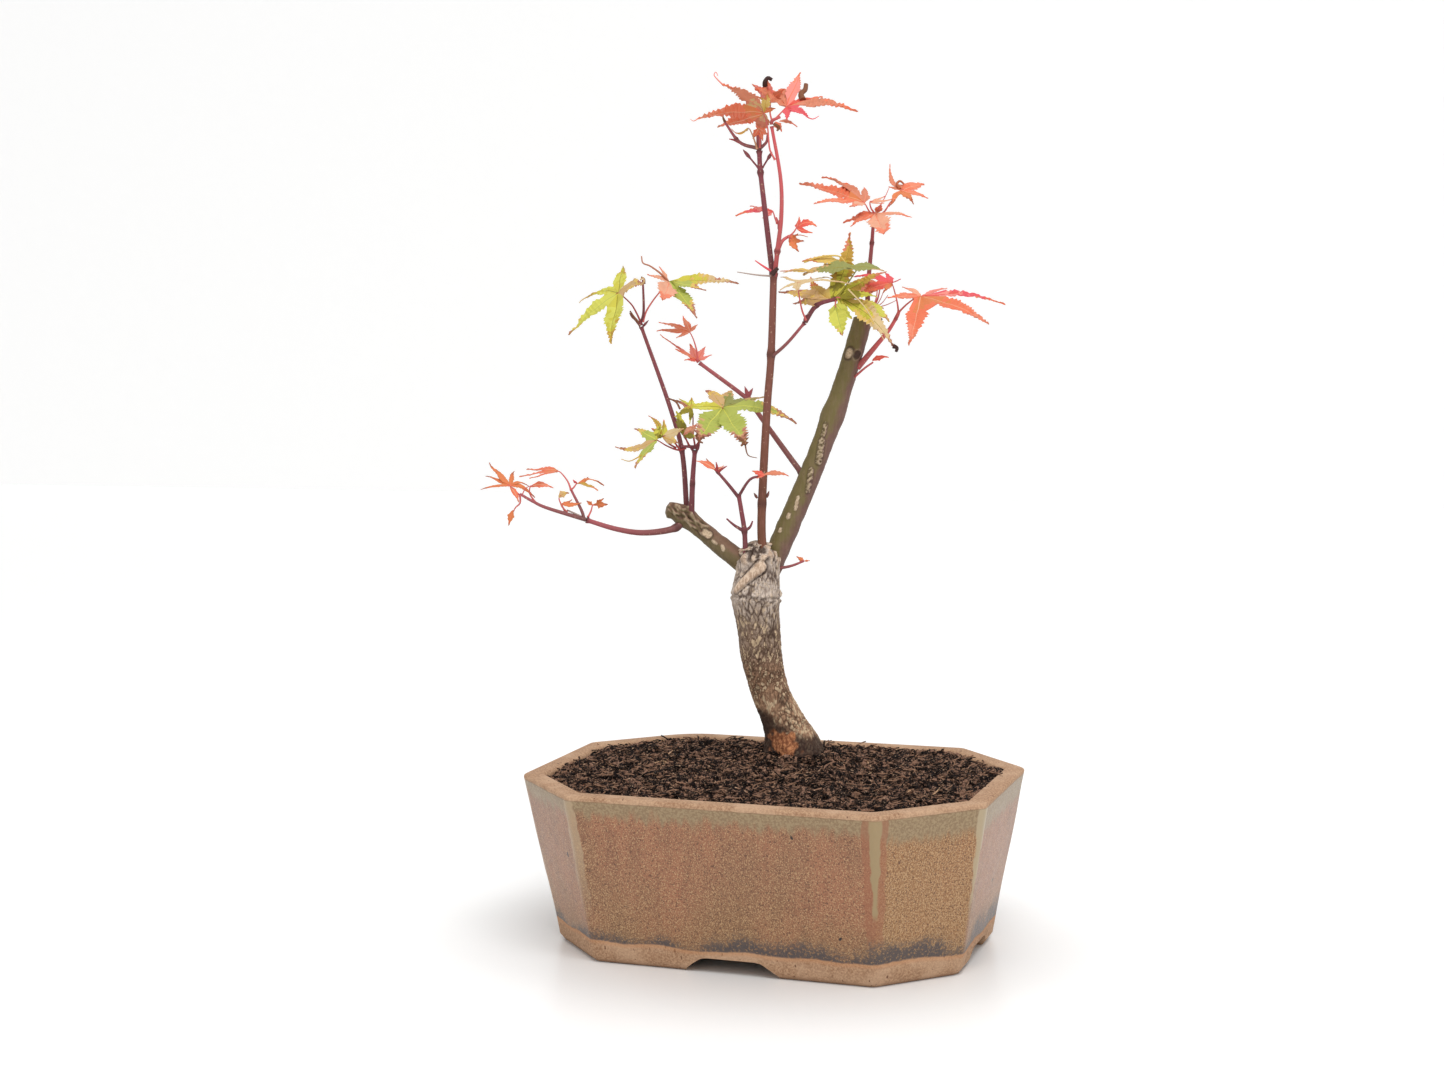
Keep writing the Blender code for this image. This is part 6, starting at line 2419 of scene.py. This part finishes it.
        Leaf((559, 498, -11), [Lobe(569, 493, -11, 0.35, bow=(563, 492))], Palette.TAN, ((565, 511, -11),
            (561, 504, -11))),
    ], [
        Thread([(586, 519, -11), (576, 514, -11), (567, 510, -11)], Tint.STALK_GREY, 1.1, 0.7),
        Thread([(522, 495, -14), (526, 488, -14), (533, 485, -13)], Tint.STALK_PINK, 0.6),
    ]),
    Mass("back_mid", "crimson", [Path([(-34.5, 24, 256.6), (-35.6, 24.3, 258.2)], 1.8, 1.5)], [
        Leaf((690, 332, 26), [Lobe(698, 324, 34, 0.22), Lobe(683, 316, 38, 0.22),
            Lobe(658, 322, 32, 0.13, bow=(678, 324)), Lobe(656, 331, 23, 0.12), Lobe(676, 338, 17, 0.17)],
            Palette.SALMON, ((698, 361, 24), (697, 352, 25), (694, 341, 26))),
        Leaf((697, 361, 25), [Lobe(712, 355, 26, 0.18), Lobe(706, 346, 34, 0.2), Lobe(690, 344, 37, 0.24),
            Lobe(660, 334, 34, 0.06, bow=(680, 349)), Lobe(676, 349, 20, 0.2, Palette.SALMON),
            Lobe(684, 360, 15, 0.24, Palette.SCARLET)], Palette.PINK),
    ]),
    Mass("fork_twig", "maroon", [Path([(-14.5, -3, 165), (-14.6, -5, 180), (-16, -6, 190.5),
        (-17.2, -6, 198)], 2.5, 1.9, ((0.5, 0.35), (1, 0.3))), Path([(-17, -6, 196.5), (-22, -7, 203),
        (-27.4, -8, 209.4)], 1.7, 1.2, ((0.9, 0.4),)), Path([(-17.3, -6, 197), (-12, -10, 205),
        (-6, -11, 206.5)], 1.5, 1), Path([(-14.9, -5, 181.5), (-19, -5, 184), (-22.7, -5, 187.2)], 1.8, 0.7),
        Path([(-14.9, -5, 181.5), (-12.3, -5, 183.2), (-11, -5, 186)], 1.7, 0.7)], [
        Leaf((717, 470, -8), [Lobe(696, 461, -8, 0.14, bow=(706, 462)), Lobe(725, 466, -6, 0.2)],
            Palette.CORAL),
        Leaf((716, 470, -8), [Lobe(706, 459, -5, 0.18)], Palette.ORANGE),
        Leaf((764, 475, -11), [Lobe(752, 471, -10, 0.3), Lobe(757, 479, -13, 0.2)], Palette.SCARLET),
        Leaf((762, 475, -11), [Lobe(789, 476, -11, 0.12, bow=(776, 470))], Palette.DUSKY),
    ], [
        Thread([(716, 471, -8), (717, 467, -8), (716, 462, -8)], Tint.STALK_RED, 1.7, 0.4),
        Thread([(718, 472, -8), (722, 469, -8), (727, 466, -8)], Tint.STALK_RED, 1.5, 0.4),
    ]),
    Mass("trunk_sprig", "mauve", [Path([(-3, 0, 163.5), (5.6, -1, 165), (12, -1, 167.3)], 1.6, 1)], [
        Leaf((804, 561, -1), [Lobe(797, 556, 1, 0.3), Lobe(810, 561, -2, 0.22)], Palette.ORANGE),
    ]),
]

# width, then the places in the photograph, of the fine roots that lie on the peat
ROOTS = (
    (0.7, (637, 763), (645, 770), (653, 774), (657, 776)),
    (0.7, (656, 776), (661, 769), (664, 763)),
    (0.8, (651, 765), (658, 763), (664, 762), (672, 767), (680, 773)),
    (0.6, (670, 771), (676, 772), (681, 768)),
    (0.6, (680, 752), (690, 747), (700, 744), (715, 743)),
    (0.6, (648, 746), (656, 748), (662, 745)),
    (0.7, (668, 755), (674, 751), (680, 753), (674, 757)),
    (0.5, (672, 742), (680, 741), (690, 743)),
    (0.6, (742, 790), (748, 794), (752, 797)),
    (0.5, (600, 768), (612, 766), (620, 770)),
    (0.6, (566, 779), (576, 776), (590, 772), (600, 771)),
    (0.6, (838, 744), (845, 750), (852, 755)),
    (0.7, (866, 761), (870, 766), (872, 772), (868, 775)),
    (0.6, (952, 775), (958, 780), (962, 784)),
    (0.7, (928, 799), (936, 793), (941, 787)),
    (0.7, (907, 793), (913, 790), (918, 787)),
    (0.6, (911, 791), (914, 795), (917, 798)),
    (0.5, (900, 760), (910, 757), (922, 759)),
    (0.6, (955, 766), (962, 769), (968, 772)),
    (0.5, (855, 760), (862, 764), (866, 770)),
    (0.6, (790, 770), (800, 774), (812, 772)),
    (0.5, (700, 775), (710, 770), (722, 772)),
    (0.5, (735, 760), (728, 766), (722, 775)),
)
FALLEN = (
    ((584, 787), (590, 780), (599, 784), (594, 789)),
    ((646, 781), (651, 777), (655, 781)),
    ((803, 743), (807, 748), (811, 751)),
)

LEFT_BARK = YoungBark("left_bark", 0.62, linear(106, 92, 62), linear(122, 92, 74), (0.2, 0.0, 0.9))
SKINS = {
    "brown": Skin("leader_skin", 0.55, linear(110, 70, 50), linear(126, 78, 68)),
    "maroon": Skin("maroon_skin", 0.5, linear(104, 58, 62), linear(132, 66, 74)),
    "mauve": Skin("mauve_skin", 0.5, linear(112, 76, 72), linear(168, 86, 92)),
    "crimson": Skin("crimson_skin", 0.45, linear(168, 80, 80), linear(206, 92, 96)),
}


def trunk_stations() -> list[Station]:
    """The trunk's route at even steps.

    Returns:
        Its stations.
    """
    widths = smooth_line([(w, 0, 0) for _, _, _, w in TRUNK_ROUTE], 20)
    line = smooth_line([(x, y, z) for x, y, z, _ in TRUNK_ROUTE], 20)
    return [Station(centre, width.x, 0.0) for centre, width in zip(line, widths)]


def main() -> None:
    """Build the scene, piece by piece."""
    noise.seed_set(SEED)
    logging.basicConfig(level=logging.INFO, format="%(message)s")
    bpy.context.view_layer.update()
    Studio().build()
    pot = Pot()
    pot.build()
    tubes = Tubing.rule()
    soil = Soil(pot)
    soil.build()
    soil.roots(tubes)
    Trunk("trunk_wood", "trunk", trunk_stations(), 150, [], Bark("trunk_bark")).build()
    left, right = BOUGH_LEFT.stations(0.45), BOUGH_RIGHT.stations(0.5)
    BarkedLimb("bough_left_wood", "bough_left", left, 72, LEFT_MARKS, LEFT_BARK).build()
    BarkedLimb("bough_right_wood", "bough_right", right, 80, RIGHT_MARKS, YoungBark("right_bark")).build()
    Shoots(SHOOTS, BUDS).build(tubes, SKINS)
    Foliage(MASSES).build(tubes, SKINS)


if __name__ == "__main__":
    main()
